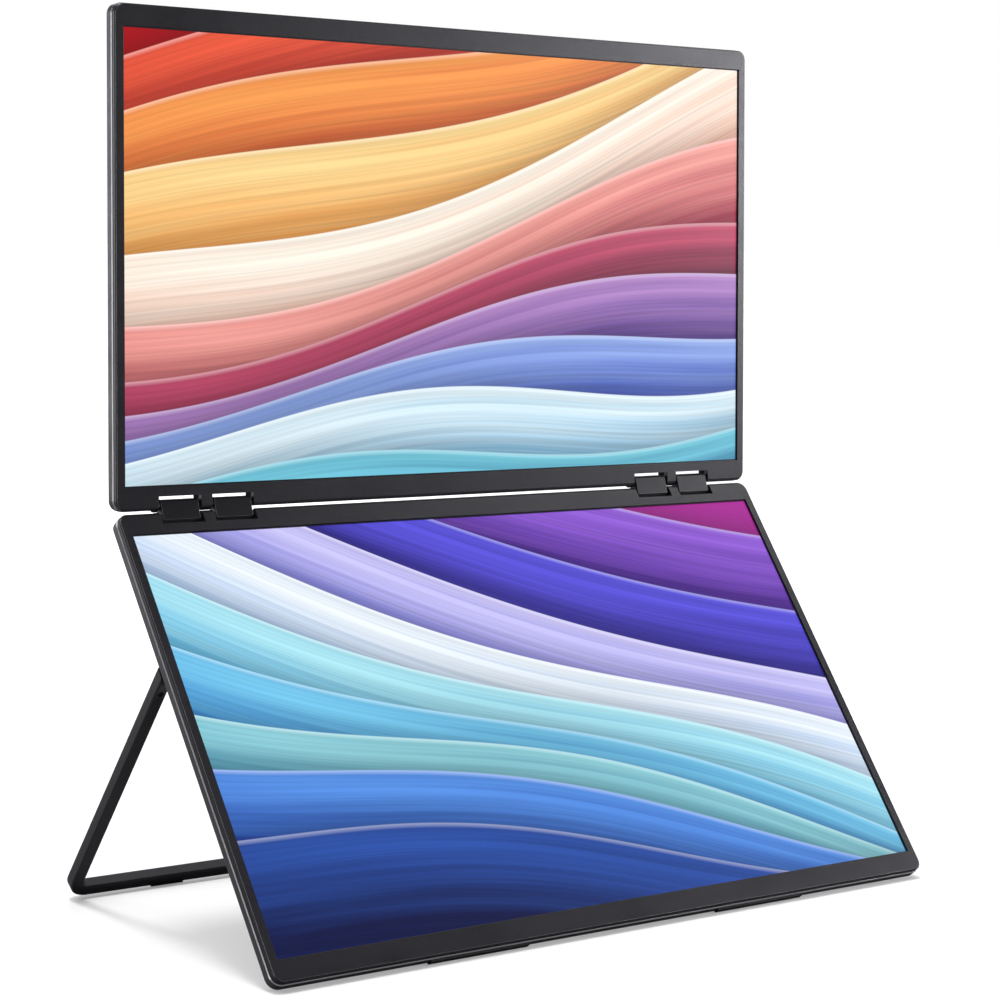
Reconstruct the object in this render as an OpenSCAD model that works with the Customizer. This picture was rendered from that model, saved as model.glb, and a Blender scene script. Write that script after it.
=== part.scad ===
// Two portable screens stacked one above the other, joined by paired
// two-axis hinges and held up by a wire-frame kickstand.
// Millimetres. X to the right, Y towards the back, Z up.
// The origin is on the table, under the middle of the outline.

/* [Screens] */
// Width of each picture area
screen_w = 344.2; // [300:0.1:420]
// Height of each picture area
screen_h = 193.6; // [180:0.1:240]
// Border beside the picture, out to the edge of the casing
side_border = 4.6; // [4:0.1:12]
// Border between the picture and the far edge of the casing
end_border = 9.7; // [9.2:0.1:16]
// Border between the picture and the hinge edge of the casing
hinge_border = 10.4; // [10.2:0.1:16]
// Thickness of the glass and liquid crystal layer
glass_t = 1.2; // [0.8:0.1:1.6]
// Thickness of the backlight behind it
backlight_t = 2; // [1.5:0.1:2.1]
// How far the screen reaches under the front frame
screen_lap = 1.5; // [1:0.1:2]
// Width of the foam strips that carry the backlight
pad_w = 4; // [2:0.1:4.5]
// Play around the edge of the screen
screen_play = 0.1; // [0.05:0.01:0.3]

/* [Casing] */
// From the hinge axis forward to the front face
front_depth = 3; // [2.9:0.01:3.05]
// From the hinge axis back to the rear face
rear_depth = 4; // [3.9:0.1:5]
// Radius of the corners of the casing
corner_r = 5; // [3:0.1:8]
// Depth of the front frame, from its face to the seam
bezel_depth = 2.5; // [2.2:0.1:2.8]
// How far the picture lies behind the face of the front frame
screen_recess = 1; // [0.5:0.1:1.4]
// How far the front frame stands in from the outline
bezel_inset = 0.4; // [0.2:0.05:0.6]
// Bevel around the face of the front frame
bezel_bevel = 0.5; // [0.3:0.05:0.7]
// Height of the shadow gap between front frame and rear cover
seam_h = 0.5; // [0.2:0.05:0.8]
// Depth of that gap
seam_in = 0.5; // [0.2:0.05:0.8]
// Bevel at the front edge of the rear cover
cover_bevel = 0.4; // [0.2:0.05:0.8]
// Bevel at the back edge of the rear cover
back_bevel = 0.8; // [0.3:0.05:1.2]
// Thickness of the back wall of each cover
cover_wall = 1.2; // [0.9:0.05:1.6]
// Thickness of the side walls of each cover
side_wall = 1.5; // [1:0.1:1.6]
// Radius of the inner corners of the covers
cavity_r = 3; // [1:0.1:4]

/* [Hinges] */
// From the edge of a panel in to its hinge axis
axis_inset = 2.2; // [1.3:0.05:2.2]
// Distance between the two axes of a hinge
axis_gap = 6.3; // [6.25:0.01:6.5]
// Width of one hinge block
block_w = 18.1; // [12:0.1:24]
// Distance between the middles of the two blocks of a pair
block_pitch = 26.2; // [26.2:0.1:34]
// From the side of the casing in to the middle of each pair
pair_edge = 45.8; // [40:0.1:70]
// How far both pairs sit to the right of that
pair_shift = -1.6; // [-5:0.1:5]
// Front face of a block, measured from the plane of the axes
block_front = 2.6; // [2.4:0.05:2.9]
// Rear face of a block, measured from the plane of the axes
block_rear = 2.4; // [2.2:0.05:2.9]
// How far a block reaches past each axis
block_end = 2.1; // [1.9:0.05:2.4]
// Radius of the rounded top front edge of a block
block_top_r = 1.3; // [0.4:0.05:1.6]
// Bevel along the bottom front edge of a block
block_low_bevel = 1.4; // [0.4:0.05:1.6]
// Bevel along the rear edges of a block
block_rear_bevel = 0.8; // [0.3:0.05:1.2]
// Free room beside a block in its notch
notch_side = 1.35; // [1:0.05:2]
// From the hinge axis to the end wall of a notch
notch_depth = 3.9; // [3.8:0.05:4.2]
// Radius of the hinge shafts
shaft_r = 1.2; // [0.8:0.05:1.4]
// Radius of the knuckles that carry the shafts
knuckle_r = 3; // [2.4:0.05:3.02]
// Thickness of the front frame over the knuckles
knuckle_cover = 0.6; // [0.4:0.05:0.8]
// How far the flat of a knuckle reaches into the panel
knuckle_flat = 1.95; // [1.5:0.05:2.5]
// Width of the outer knuckle of a pair
outer_knuckle_w = 1.5; // [1:0.1:4]
// Width of the arm behind the inner knuckle
arm_w = 4; // [2:0.1:5]
// Thickness of the bracket plates
bracket_t = 1.45; // [1:0.05:1.5]
// Length of a bracket plate along the hinge
bracket_w = 48; // [40:0.5:60]
// Length of a bracket plate into the panel
bracket_l = 13; // [9:0.1:14]
// Outer radius of the friction washers
washer_r = 2; // [1.6:0.05:2.2]
// Thickness of the friction washers
washer_t = 0.9; // [0.4:0.05:1.2]
// How far a shaft runs into the casing at its far end
shaft_tail = 3; // [1:0.1:6]
// Furthest opening of the two screens, in degrees
back_open = 290; // [240:1:290]

/* [Kickstand] */
// Width of the stand's bar, seen square to the frame
bar_w = 5.8; // [5:0.1:8]
// Thickness of the bar
bar_t = 5.4; // [5:0.1:7]
// Bevel along the edges of the bar
bar_bevel = 0.5; // [0.2:0.05:0.9]
// From the folded foot bar to the lower edge of the casing
stand_edge = 6.2; // [5:0.1:30]
// From the hinge axis down to the pivot of the stand
pivot_drop = 71.6; // [60:0.1:72]
// Outer radius of the bottom corners of the stand
stand_corner_r = 9.5; // [8.5:0.1:16]
// From the pivot to the inner face of the leg
pin_inset = 1.9; // [1.7:0.05:2.6]
// Gap between the folded stand and the rear cover
stand_gap = 0.3; // [0.2:0.05:0.6]
// Gap between the stand and the raised part of the cover
stand_side_gap = 0.5; // [0.3:0.05:0.7]
// Length and height of each bearing block inside the housing
bracket_block = 9; // [6:0.1:10]
// Radius of the pivot pins
pin_r = 1.2; // [0.8:0.05:1.3]
// How far a pin runs into the leg
pin_reach = 4.4; // [3:0.1:4.8]
// Width of the steel leaf let into each leg
leaf_w = 3.8; // [2.5:0.1:4.2]
// Length of that leaf
leaf_l = 7.8; // [7:0.1:10]
// Thickness of that leaf
leaf_t = 1; // [0.6:0.05:1.1]
// Radius of the leaf's screw head
leaf_screw_r = 1.5; // [1:0.05:1.8]

/* [Feet] */
// Length of each foot under the lower panel
foot_l = 50; // [20:0.5:80]
// From the middle of the casing to the middle of each foot
foot_reach = 76.8; // [50:0.1:120]
// Height of the feet
foot_t = 0.9; // [0.6:0.05:1.5]
// Width of the feet
foot_w = 3; // [2:0.1:3.6]
// How much of each foot's corner is cut flat to the table
foot_cut = 0.25; // [0.1:0.01:0.4]
// Length of the feet on the stand
stand_foot_l = 16; // [8:0.5:60]
// From the middle of the casing to the middle of each stand foot
stand_foot_reach = 126.2; // [60:0.1:150]

/* [Back housing] */
// From the hinge axis down to the top of the raised housing
housing_drop = 20; // [18.5:0.1:30]
// Radius of the housing's corners
housing_r = 4; // [3:0.1:6]
// Bevel around the back of the housing
housing_bevel = 0.8; // [0.3:0.05:1.1]
// Width of each cooling slot
slot_w = 1.6; // [1:0.1:2.4]
// Length of each cooling slot
slot_l = 14; // [6:0.5:24]
// Distance from one cooling slot to the next
slot_pitch = 4.4; // [3:0.1:6]
// Number of cooling slots
slot_count = 18; // [0:1:24]

/* [Electronics] */
// Width of the main board
board_w = 118; // [90:1:140]
// Room between the main board and the bearings of the stand
board_clear = 1; // [0.5:0.1:3]
// Thickness of the boards
board_t = 1; // [0.8:0.1:1.6]
// Height of the posts under the main board
board_post = 3.6; // [3.4:0.1:4]
// Radius of the board posts
post_r = 2.4; // [1.8:0.1:3]
// Width of a USB-C socket
usb_w = 8.9; // [8.9:0.1:9.2]
// Height of a USB-C socket
usb_h = 3.2; // [3.1:0.05:3.3]
// Depth of a USB-C socket
usb_l = 7.5; // [6:0.1:9]
// How much of the mini HDMI socket's height its two cut corners take
hdmi_cut_share = 0.35; // [0.2:0.05:0.5]
// Width of the mini HDMI socket
hdmi_w = 11.2; // [11:0.1:11.4]
// Thickness of the socket shells
shell_t = 0.3; // [0.2:0.05:0.4]
// Gap between a socket and its hole
port_gap = 0.25; // [0.1:0.05:0.4]
// Length of a button
button_l = 9; // [6:0.1:10]
// Width of a button
button_w = 2.6; // [2:0.1:3.2]
// How far the buttons stand out
button_proud = 0.6; // [0.3:0.05:1]
// How far the buttons travel
button_travel = 0.5; // [0.2:0.05:0.5]
// Distance from one button to the next
button_pitch = 13; // [12:0.1:16]
// Height of the upper screen's driver board
driver_h = 18; // [10:0.5:30]
// Width of the upper screen's driver board
driver_w = 150; // [80:1:200]

/* [Screws] */
// Radius of the casing screws' heads
screw_head_r = 1.5; // [1.2:0.05:1.7]
// Depth of the heads
screw_head_h = 0.9; // [0.6:0.05:1.1]
// Radius of the shanks
screw_r = 0.8; // [0.5:0.05:1]
// Radius of the bosses round the shanks
boss_r = 2.4; // [2:0.1:2.6]

/* [Pose] */
// Angle between the two screens
open_angle = 144.15; // [100:0.05:180]
// Angle between the stand and the lower panel
stand_angle = 74.5; // [50:0.5:85]

/* [Hidden] */
$fn = 48;

// Cuts run past the faces that they open by this much
over = 0.5;
// Play of a turning shaft, and of one that is pressed in
run_play = 0.05;
press_play = 0.02;

// Outline of both panels, in the frame of their hinge axis
case_w = screen_w + 2 * side_border;
case_h = screen_h + end_border + hinge_border;
case_top = case_h - axis_inset;
case_mid = case_h / 2 - axis_inset;
seam_z = front_depth - bezel_depth;
glass_z = front_depth - screen_recess;
floor_z = cover_wall - rear_depth;

// Screen layers, from the picture back
picture_y = hinge_border - axis_inset;
layer_w = screen_w + 2 * screen_lap;
layer_h = screen_h + 2 * screen_lap;
pocket_w = layer_w + 2 * screen_play;
pocket_h = layer_h + 2 * screen_play;
picture_mid = picture_y + screen_h / 2;
backlight_z = glass_z - glass_t - backlight_t;

// Edge outlines as [inset, height] from back to front
bezel_edge = [
    [bezel_inset + seam_in, seam_z], [bezel_inset + seam_in, seam_z + seam_h],
    [bezel_inset, seam_z + seam_h], [bezel_inset, front_depth - bezel_bevel],
    [bezel_inset + bezel_bevel, front_depth]
];
cover_edge = [
    [back_bevel, -rear_depth], [0, back_bevel - rear_depth],
    [0, seam_z - cover_bevel], [cover_bevel, seam_z]
];

// Hinge places along X
notch_w = block_w + 2 * notch_side;
web_w = block_pitch - notch_w;
pair_reach = case_w / 2 - pair_edge;
pair_xs = [pair_shift - pair_reach, pair_shift + pair_reach];
block_xs = [for (x = pair_xs, s = [-1, 1]) x + s * block_pitch / 2];
pair_left = -block_pitch / 2 - notch_w / 2;
pair_right = block_pitch / 2 + notch_w / 2;
hinge_wall = notch_depth + side_wall;
// From a hinge axis to the front frame's hinge edge
frame_reach = axis_inset - bezel_inset;
arm_top = floor_z + bracket_t;
back_tilt = (back_open - 180) / 2;
// Half the distance of the axes, less the play between the panels' edges
edge_reach = axis_gap / 2 - 2 * run_play;

// Kickstand in the frame of the lower panel
stand_l = case_top - pivot_drop - stand_edge;
pivot_z = -rear_depth - stand_gap - pin_inset;
housing_back = pivot_z + pin_inset - bar_t;
housing_w = case_w - 2 * (bar_w + stand_side_gap);
housing_low = pivot_drop + stand_l - bar_w - stand_side_gap;
housing_h = housing_low - housing_drop;
housing_mid = -(housing_drop + housing_low) / 2;
housing_floor = housing_back + cover_wall;
housing_edge = [
    [housing_bevel, housing_back], [0, housing_back + housing_bevel], [0, over - rear_depth]
];
wall_x = housing_w / 2;
inner_x = wall_x - side_wall;
leg_x = case_w / 2 - bar_w / 2;
leg_inner_x = case_w / 2 - bar_w;
end_y = (pin_inset + (bar_t - pin_inset) * cos(stand_angle)) / sin(stand_angle);

// Main board, sockets and buttons in the frame of the lower panel
board_z = housing_floor + board_post;
board_right = inner_x - port_gap;
board_top = -housing_drop - side_wall - cavity_r;
board_h = pivot_drop + board_top - bracket_block / 2 - board_clear;
port_pitch = board_h / 3;
port_z = board_z - usb_h / 2;
port_face = wall_x - port_gap;
port_ys = [for (i = [0:2]) board_top - (i + 1 / 2) * port_pitch];
button_ys = [for (i = [0, 1]) board_top - button_l / 2 - post_r - i * button_pitch];
button_z = port_z;
// Flange that keeps a button behind its wall: thickness, rim and play
flange_t = 1;
flange_rim = 0.6;
button_play = 0.15;
// Thickness and width of a button's switch
switch_t = 1.6;
switch_w = 3;
switch_face = inner_x - button_play - flange_t - button_travel - button_play;
// Thread of the casing screws and the leaf screws
screw_l = 3.4;

// Feet and the lean that they give: both lowest corners stand on the table
foot_corner = [-(case_top + foot_t), back_bevel - rear_depth];
stand_corner = [
    -pivot_drop - (stand_l + foot_t) * cos(stand_angle) - pin_inset * sin(stand_angle),
    pivot_z - (stand_l + foot_t) * sin(stand_angle) + pin_inset * cos(stand_angle)
];
lower_lean = atan2(stand_corner[0] - foot_corner[0], foot_corner[1] - stand_corner[1]);
upper_lean = lower_lean - (180 - open_angle);
link_lean = (lower_lean + upper_lean) / 2;

function turned(p, lean) = [
    p[0] * sin(lean) - p[1] * cos(lean), p[0] * cos(lean) + p[1] * sin(lean)
];
axis_z = -turned(foot_corner, lower_lean)[1] - foot_cut;

// Reach of the outline forward and back, which sets the origin
front_reach = min([for (p = [
    [-case_top + bezel_inset + bezel_bevel, front_depth],
    [-case_top + bezel_inset, front_depth - bezel_bevel]
]) turned(p, lower_lean)[0]]);
back_reach = max([for (p = [
    [-stand_l + bar_bevel, pin_inset - bar_t], [-stand_l, pin_inset - bar_t + bar_bevel]
]) turned([
    -pivot_drop + p[0] * cos(stand_angle) - p[1] * sin(stand_angle),
    pivot_z + p[0] * sin(stand_angle) + p[1] * cos(stand_angle)
], lower_lean)[0]]);
axis_y = -(front_reach + back_reach) / 2;
upper_axis = [axis_y + axis_gap * sin(link_lean), axis_z + axis_gap * cos(link_lean)];
link_mid = [axis_y + axis_gap / 2 * sin(link_lean), axis_z + axis_gap / 2 * cos(link_lean)];

// Casing screws: places along X by the hinge edge and by the far edge
near_screw_y = notch_depth - screw_head_r + bezel_inset;
near_screw_xs = [for (s = [-1, 0, 1]) s * pair_reach / 2];
far_screw_y = case_top - end_border / 2 + bezel_inset;
far_screw_xs = [for (s = [-1, 0, 1]) s * (case_w / 2 - foot_reach / 3)];
bracket_screw_xs = [-bracket_w / 2 + boss_r, bracket_w / 2 - boss_r];
bracket_screw_y = hinge_wall + bracket_l - boss_r;
bracket_screw_l = bracket_t + cover_wall - screw_r / 4;

echo(lower_lean = lower_lean, upper_lean = upper_lean, link_lean = link_lean);
echo(lower_axis = [axis_y, axis_z], upper_axis = upper_axis);
echo(stand_pivot = [axis_y, axis_z] + turned([-pivot_drop, pivot_z], lower_lean));

// Frames: X right, Y along the panel away from its hinge, Z towards the viewer
module on_lower() {
    translate([0, axis_y, axis_z]) rotate([90 - lower_lean, 0, 0]) children();
}

module on_upper() {
    translate([0, upper_axis[0], upper_axis[1]]) rotate([90 - upper_lean, 0, 0]) children();
}

module on_links() {
    translate([0, link_mid[0], link_mid[1]]) rotate([90 - link_lean, 0, 0]) children();
}

module on_stand() {
    on_lower() translate([0, -pivot_drop, pivot_z]) rotate([stand_angle, 0, 0]) children();
}

// The lower panel is the upper one turned half round
module hanging() {
    rotate([0, 0, 180]) children();
}

function both_sides(half, edge) = concat(
    [for (p = edge) [half - p[0], p[1]]],
    [for (i = [len(edge) - 1:-1:0]) [edge[i][0] - half, edge[i][1]]]
);

// Plate with round corners and the given edge outline all round
module rimmed_plate(w, h, r, edge) {
    last = len(edge) - 1;
    for (sx = [-1, 1], sy = [-1, 1]) {
        translate([sx * (w / 2 - r), sy * (h / 2 - r), 0]) rotate_extrude() polygon(concat(
            [[0, edge[0][1]]], [for (p = edge) [r - p[0], p[1]]], [[0, edge[last][1]]]
        ));
    }
    rotate([90, 0, 90]) linear_extrude(w - 2 * r, center = true) polygon(both_sides(h / 2, edge));
    rotate([90, 0, 0]) linear_extrude(h - 2 * r, center = true) polygon(both_sides(w / 2, edge));
}

module plain_plate(w, h, r, z0, z1) {
    rimmed_plate(w, h, r, [[0, z0], [0, z1]]);
}

// Block centred on X that spans the given Y and Z
module slab(w, y0, y1, z0, z1) {
    translate([-w / 2, y0, z0]) cube([w, y1 - y0, z1 - z0]);
}

module along_x(x0, x1, y, z, r) {
    translate([x0, y, z]) rotate([0, 90, 0]) cylinder(h = x1 - x0, r = r);
}

// Bar along X with the given outline in Y and Z
module profile_x(w, points) {
    rotate([90, 0, 90]) linear_extrude(w, center = true) polygon(points);
}

module at_pairs() {
    for (x = pair_xs) translate([x, 0, 0]) children();
}

// Places of a pair's parts, mirrored in X where the panel hangs upside down
module at_pairs_of(flip) {
    for (x = pair_xs) translate([flip * x, 0, 0]) children();
}

// Hinge cuts that bezel and cover share, in the frame of one pair
module pair_cuts(flip) {
    for (s = [-1, 1]) translate([s * block_pitch / 2, 0, 0])
        slab(notch_w, -axis_inset - over, notch_depth, -rear_depth - over, front_depth + over);
    tail0 = flip > 0 ? pair_right - over : pair_left - shaft_tail - run_play;
    tail1 = flip > 0 ? pair_right + shaft_tail + run_play : pair_left + over;
    along_x(tail0, tail1, 0, 0, shaft_r + run_play);
}

module knuckle_places(flip) {
    children(0);
    translate([flip * (pair_left - outer_knuckle_w / 2), 0, 0]) children(1);
}

// All that lies in front of a knuckle, behind a front frame that ends at the given place
module knuckle_front(w, edge_y, play) {
    top = front_depth - knuckle_cover + play;
    difference() {
        slab(w, edge_y, knuckle_flat + over, 0, front_depth + 2 * over);
        along_x(-w, w, 0, 0, edge_reach - knuckle_cover + play);
        slab(w + 2 * over, 0, knuckle_flat + 2 * over, -over, top);
    }
}

// Room for a knuckle behind the front frame
module knuckle_pocket(w) {
    difference() {
        slab(w, -axis_inset - over, knuckle_flat + run_play, seam_z - over, front_depth + over);
        knuckle_front(w + over, -axis_inset - 2 * over, run_play);
    }
}

// The hinge edge of the front frame is round about the hinge axis, which lets the panels close
module hinge_edge_cut() {
    difference() {
        slab(case_w + 2 * over, -axis_inset - over, 0, 0, front_depth + over);
        along_x(-case_w, case_w, 0, 0, edge_reach);
    }
}

module bezel(flip) {
    difference() {
        translate([0, case_mid, 0]) rimmed_plate(case_w, case_h, corner_r, bezel_edge);
        hinge_edge_cut();
        translate([0, picture_mid, 0]) {
            slab(screen_w, -screen_h / 2, screen_h / 2, seam_z - over, front_depth + over);
            slab(pocket_w, -pocket_h / 2, pocket_h / 2, seam_z - over, glass_z);
        }
        at_pairs_of(flip) {
            pair_cuts(flip);
            knuckle_places(flip) {
                knuckle_pocket(web_w + over);
                translate([flip * over / 2, 0, 0]) knuckle_pocket(outer_knuckle_w + 2 * run_play + over);
            }
        }
        for (x = near_screw_xs) translate([x, near_screw_y, seam_z - over])
            cylinder(h = over + screw_l / 2, r = screw_r + press_play);
        for (x = far_screw_xs) translate([x, far_screw_y, seam_z - over])
            cylinder(h = over + screw_l / 2, r = screw_r + press_play);
    }
}

// Slanted cut along the hinge edge that lets the panels fold back
module fold_back_cut() {
    y0 = -axis_inset - over;
    z0 = -rear_depth - over;
    y_on_back = (z0 * -sin(back_tilt) - edge_reach) / cos(back_tilt);
    z_on_edge = -(edge_reach + y0 * cos(back_tilt)) / sin(back_tilt);
    profile_x(case_w + 2 * over, [[y0, z0], [y_on_back, z0], [y0, z_on_edge]]);
}

module knuckle_seat(w) {
    seat_y = knuckle_flat + run_play;
    slab(w, -axis_inset - over, 0, -rear_depth - over, seam_z + over);
    slab(w, -over, seat_y, -knuckle_r - run_play, seam_z + over);
}

module arm_slot(w) {
    slab(w + 2 * run_play, 0, hinge_wall + over, floor_z, seam_z + over);
}

module cover_screw_holes() {
    for (x = near_screw_xs) translate([x, near_screw_y, 0]) cover_screw_hole();
    for (x = far_screw_xs) translate([x, far_screw_y, 0]) cover_screw_hole();
}

module cover_screw_hole() {
    translate([0, 0, -rear_depth - over]) cylinder(h = over + screw_head_h, r = screw_head_r + press_play);
    translate([0, 0, -rear_depth]) cylinder(h = rear_depth + seam_z + over, r = screw_r + press_play);
}

module cover_screw() {
    translate([0, 0, -rear_depth]) cylinder(h = screw_head_h, r = screw_head_r);
    translate([0, 0, screw_head_h - rear_depth])
        cylinder(h = rear_depth - screw_head_h + seam_z + screw_l / 2 - press_play, r = screw_r);
}

module cover_screws() {
    for (x = near_screw_xs) translate([x, near_screw_y, 0]) cover_screw();
    for (x = far_screw_xs) translate([x, far_screw_y, 0]) cover_screw();
}

module bracket_screw_holes() {
    for (x = bracket_screw_xs) translate([x, bracket_screw_y, arm_top - bracket_screw_l])
        cylinder(h = bracket_screw_l + over, r = screw_r + press_play);
}

// Shell of a rear cover without its raised housing
module cover_body(flip) {
    cavity_h = case_top - side_wall - hinge_wall;
    difference() {
        translate([0, case_mid, 0]) rimmed_plate(case_w, case_h, corner_r, cover_edge);
        translate([0, hinge_wall + cavity_h / 2, 0])
            plain_plate(case_w - 2 * side_wall, cavity_h, cavity_r, floor_z, seam_z + over);
        fold_back_cut();
        at_pairs_of(flip) {
            pair_cuts(flip);
            knuckle_places(flip) {
                knuckle_seat(web_w + over);
                translate([flip * over / 2, 0, 0]) knuckle_seat(outer_knuckle_w + 2 * run_play + over);
            }
            knuckle_places(flip) {
                arm_slot(arm_w);
                arm_slot(outer_knuckle_w);
            }
            bracket_screw_holes();
        }
        cover_screw_holes();
    }
    difference() {
        for (x = far_screw_xs) translate([x, far_screw_y, floor_z - over / 2])
            cylinder(h = seam_z - floor_z + over / 2, r = boss_r);
        cover_screw_holes();
    }
}

module screen_layer(z0, z1) {
    translate([0, picture_mid, 0]) slab(layer_w, -layer_h / 2, layer_h / 2, z0, z1);
}

module light_pads() {
    for (s = [-1, 1]) translate([s * (layer_w - pad_w) / 2, picture_mid, 0])
        slab(pad_w, -screen_h / 2, screen_h / 2, floor_z, backlight_z);
}

// Steel bracket of one pair: two knuckles, their arms and the plate inside the casing
module knuckle(w) {
    difference() {
        union() {
            along_x(-w / 2, w / 2, 0, 0, knuckle_r);
            slab(w, 0, knuckle_flat, -knuckle_r, knuckle_r);
        }
        slab(w + 2 * over, knuckle_flat, 2 * knuckle_r, -2 * knuckle_r, 2 * knuckle_r);
        knuckle_front(w + 2 * over, -frame_reach - run_play, 0);
        along_x(-w, w, 0, 0, shaft_r + press_play);
    }
}

module arm(w) {
    slab(w, knuckle_flat - over, hinge_wall + over, floor_z, arm_top);
}

module brackets(flip) {
    at_pairs_of(flip) {
        knuckle_places(flip) {
            knuckle(web_w);
            knuckle(outer_knuckle_w);
        }
        difference() {
            union() {
                knuckle_places(flip) {
                    arm(arm_w);
                    arm(outer_knuckle_w);
                }
                slab(bracket_w, hinge_wall + run_play, hinge_wall + bracket_l, floor_z, arm_top);
            }
            for (x = bracket_screw_xs) translate([x, bracket_screw_y, 0]) {
                translate([0, 0, floor_z - over])
                    cylinder(h = bracket_t + 2 * over, r = screw_r + press_play);
                translate([0, 0, arm_top - bracket_t / 2])
                    cylinder(h = bracket_t, r = screw_head_r + press_play);
            }
        }
    }
}

module bracket_screws(flip) {
    at_pairs_of(flip) for (x = bracket_screw_xs) translate([x, bracket_screw_y, 0]) {
        translate([0, 0, arm_top - bracket_t / 2]) cylinder(h = bracket_t / 2, r = screw_head_r);
        translate([0, 0, arm_top - bracket_screw_l]) cylinder(h = bracket_screw_l, r = screw_r);
    }
}

module shafts(flip) {
    x0 = pair_left - outer_knuckle_w;
    x1 = pair_right + shaft_tail;
    at_pairs_of(flip) along_x(min(flip * x0, flip * x1), max(flip * x0, flip * x1), 0, 0, shaft_r);
}

// Lower panel
module lower_bezel() {
    color([0.16, 0.16, 0.17]) on_lower() hanging() bezel(-1);
}

module through_wall() {
    rotate([0, 90, 0]) rotate([0, 0, 90]) linear_extrude(side_wall + 2 * over) children();
}

module stadium(w, h) {
    square([w - h, h], center = true);
    for (s = [-1, 1]) translate([s * (w - h) / 2, 0]) circle(d = h);
}

module at_side(y, x) {
    translate([x, y, port_z]) children();
}

module housing_cuts() {
    housing_cavity_h = housing_h - 2 * side_wall;
    translate([0, housing_mid, 0])
        plain_plate(2 * inner_x, housing_cavity_h, cavity_r, housing_floor, floor_z + over);
    for (i = [0, 1]) at_side(port_ys[i], inner_x - over)
        through_wall() stadium(usb_w + 2 * port_gap, usb_h + 2 * port_gap);
    at_side(port_ys[2], inner_x - over)
        through_wall() cut_outline(hdmi_w + 2 * port_gap, usb_h + 2 * port_gap);
    for (y = button_ys) at_side(y, -wall_x - over)
        through_wall() stadium(button_l + 2 * button_play, button_w + 2 * button_play);
    for (s = [-1, 1]) along_x(min(s * (inner_x - over), s * (wall_x + over)),
        max(s * (inner_x - over), s * (wall_x + over)), -pivot_drop, pivot_z, pin_r + run_play);
    for (i = [0:1:slot_count - 1]) translate([-(i - (slot_count - 1) / 2) * slot_pitch, 0, 0])
        slab(slot_w, -housing_drop - side_wall - 2 * slot_l, -housing_drop - side_wall - slot_l,
            housing_back - over, housing_floor + over);
}

module board_posts() {
    for (x = board_post_xs, y = board_post_ys) translate([x, y, housing_floor - over / 2])
        difference() {
            cylinder(h = board_post + over / 2, r = post_r);
            translate([0, 0, over]) cylinder(h = board_post + over, r = screw_r + press_play);
        }
}

board_post_xs = [board_right - board_w + 2 * post_r, board_right - 6 * post_r];
board_post_ys = [board_top - 2 * post_r, board_top - board_h + 2 * post_r];

module lower_rear_cover() {
    color([0.3, 0.3, 0.32]) on_lower() {
        difference() {
            union() {
                hanging() cover_body(-1);
                translate([0, housing_mid, 0]) rimmed_plate(housing_w, housing_h, housing_r, housing_edge);
            }
            housing_cuts();
        }
        board_posts();
    }
}

module lower_screen() {
    color([0.25, 0.55, 0.8]) on_lower() hanging() screen_layer(glass_z - glass_t, glass_z);
}

module lower_backlight() {
    color([0.7, 0.7, 0.72]) on_lower() hanging() screen_layer(backlight_z, glass_z - glass_t);
}

module lower_light_pads() {
    color([0.15, 0.15, 0.15]) on_lower() hanging() light_pads();
}

module lower_hinge_brackets() {
    color([0.2, 0.2, 0.21]) on_lower() hanging() brackets(-1);
}

module lower_hinge_shafts() {
    color([0.6, 0.6, 0.62]) on_lower() hanging() shafts(-1);
}

module lower_hinge_screws() {
    color([0.5, 0.5, 0.52]) on_lower() hanging() bracket_screws(-1);
}

module lower_cover_screws() {
    color([0.1, 0.1, 0.1]) on_lower() hanging() cover_screws();
}

module main_board() {
    color([0.05, 0.35, 0.18]) on_lower() difference() {
        translate([board_right - board_w, board_top - board_h, board_z])
            cube([board_w, board_h, board_t]);
        for (x = board_post_xs, y = board_post_ys) translate([x, y, board_z - over])
            cylinder(h = board_t + 2 * over, r = screw_r + run_play);
    }
}

// Chips as [place along the board, place down it, side], in shares of the board's size
chip_shares = [[0.36, 0.55, 0.19], [0.62, 0.35, 0.12], [0.14, 0.6, 0.1], [0.64, 0.75, 0.08]];
// Thickness of the chips, on the board's rear side
chip_t = 1.2;

module board_chips() {
    color([0.08, 0.08, 0.08]) on_lower() for (c = chip_shares)
        translate([board_right - board_w * (1 - c[0]), board_top - board_h * c[1], board_z - chip_t / 2])
            cube([board_w * c[2], board_w * c[2], chip_t], center = true);
}

module board_screws() {
    color([0.6, 0.6, 0.6]) on_lower() for (x = board_post_xs, y = board_post_ys)
        translate([x, y, board_z + board_t]) {
            cylinder(h = screw_head_h, r = screw_head_r);
            translate([0, 0, -board_t - board_post / 2]) cylinder(h = board_t + board_post / 2, r = screw_r);
        }
}

// Outline of the mini HDMI socket: two corners are cut, so that a plug fits only one way
module cut_outline(w, h) {
    polygon([
        [-w / 2, -h / 2], [w / 2, -h / 2], [w / 2, h / 2 - h * hdmi_cut_share],
        [w / 2 - h * hdmi_cut_share, h / 2], [h * hdmi_cut_share - w / 2, h / 2],
        [-w / 2, h / 2 - h * hdmi_cut_share]
    ]);
}

// Socket shell with its tongue, its mouth facing +X. The children are its outline and its inside
module socket(w, h) {
    rotate([0, 90, 0]) rotate([0, 0, 90]) {
        difference() {
            translate([0, 0, -usb_l]) linear_extrude(usb_l) children(0);
            translate([0, 0, shell_t * 3 - usb_l]) linear_extrude(usb_l) children(1);
        }
        translate([0, 0, -usb_l / 2]) cube([w - h, shell_t * 2, usb_l - 4 * shell_t], center = true);
    }
}

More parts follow.
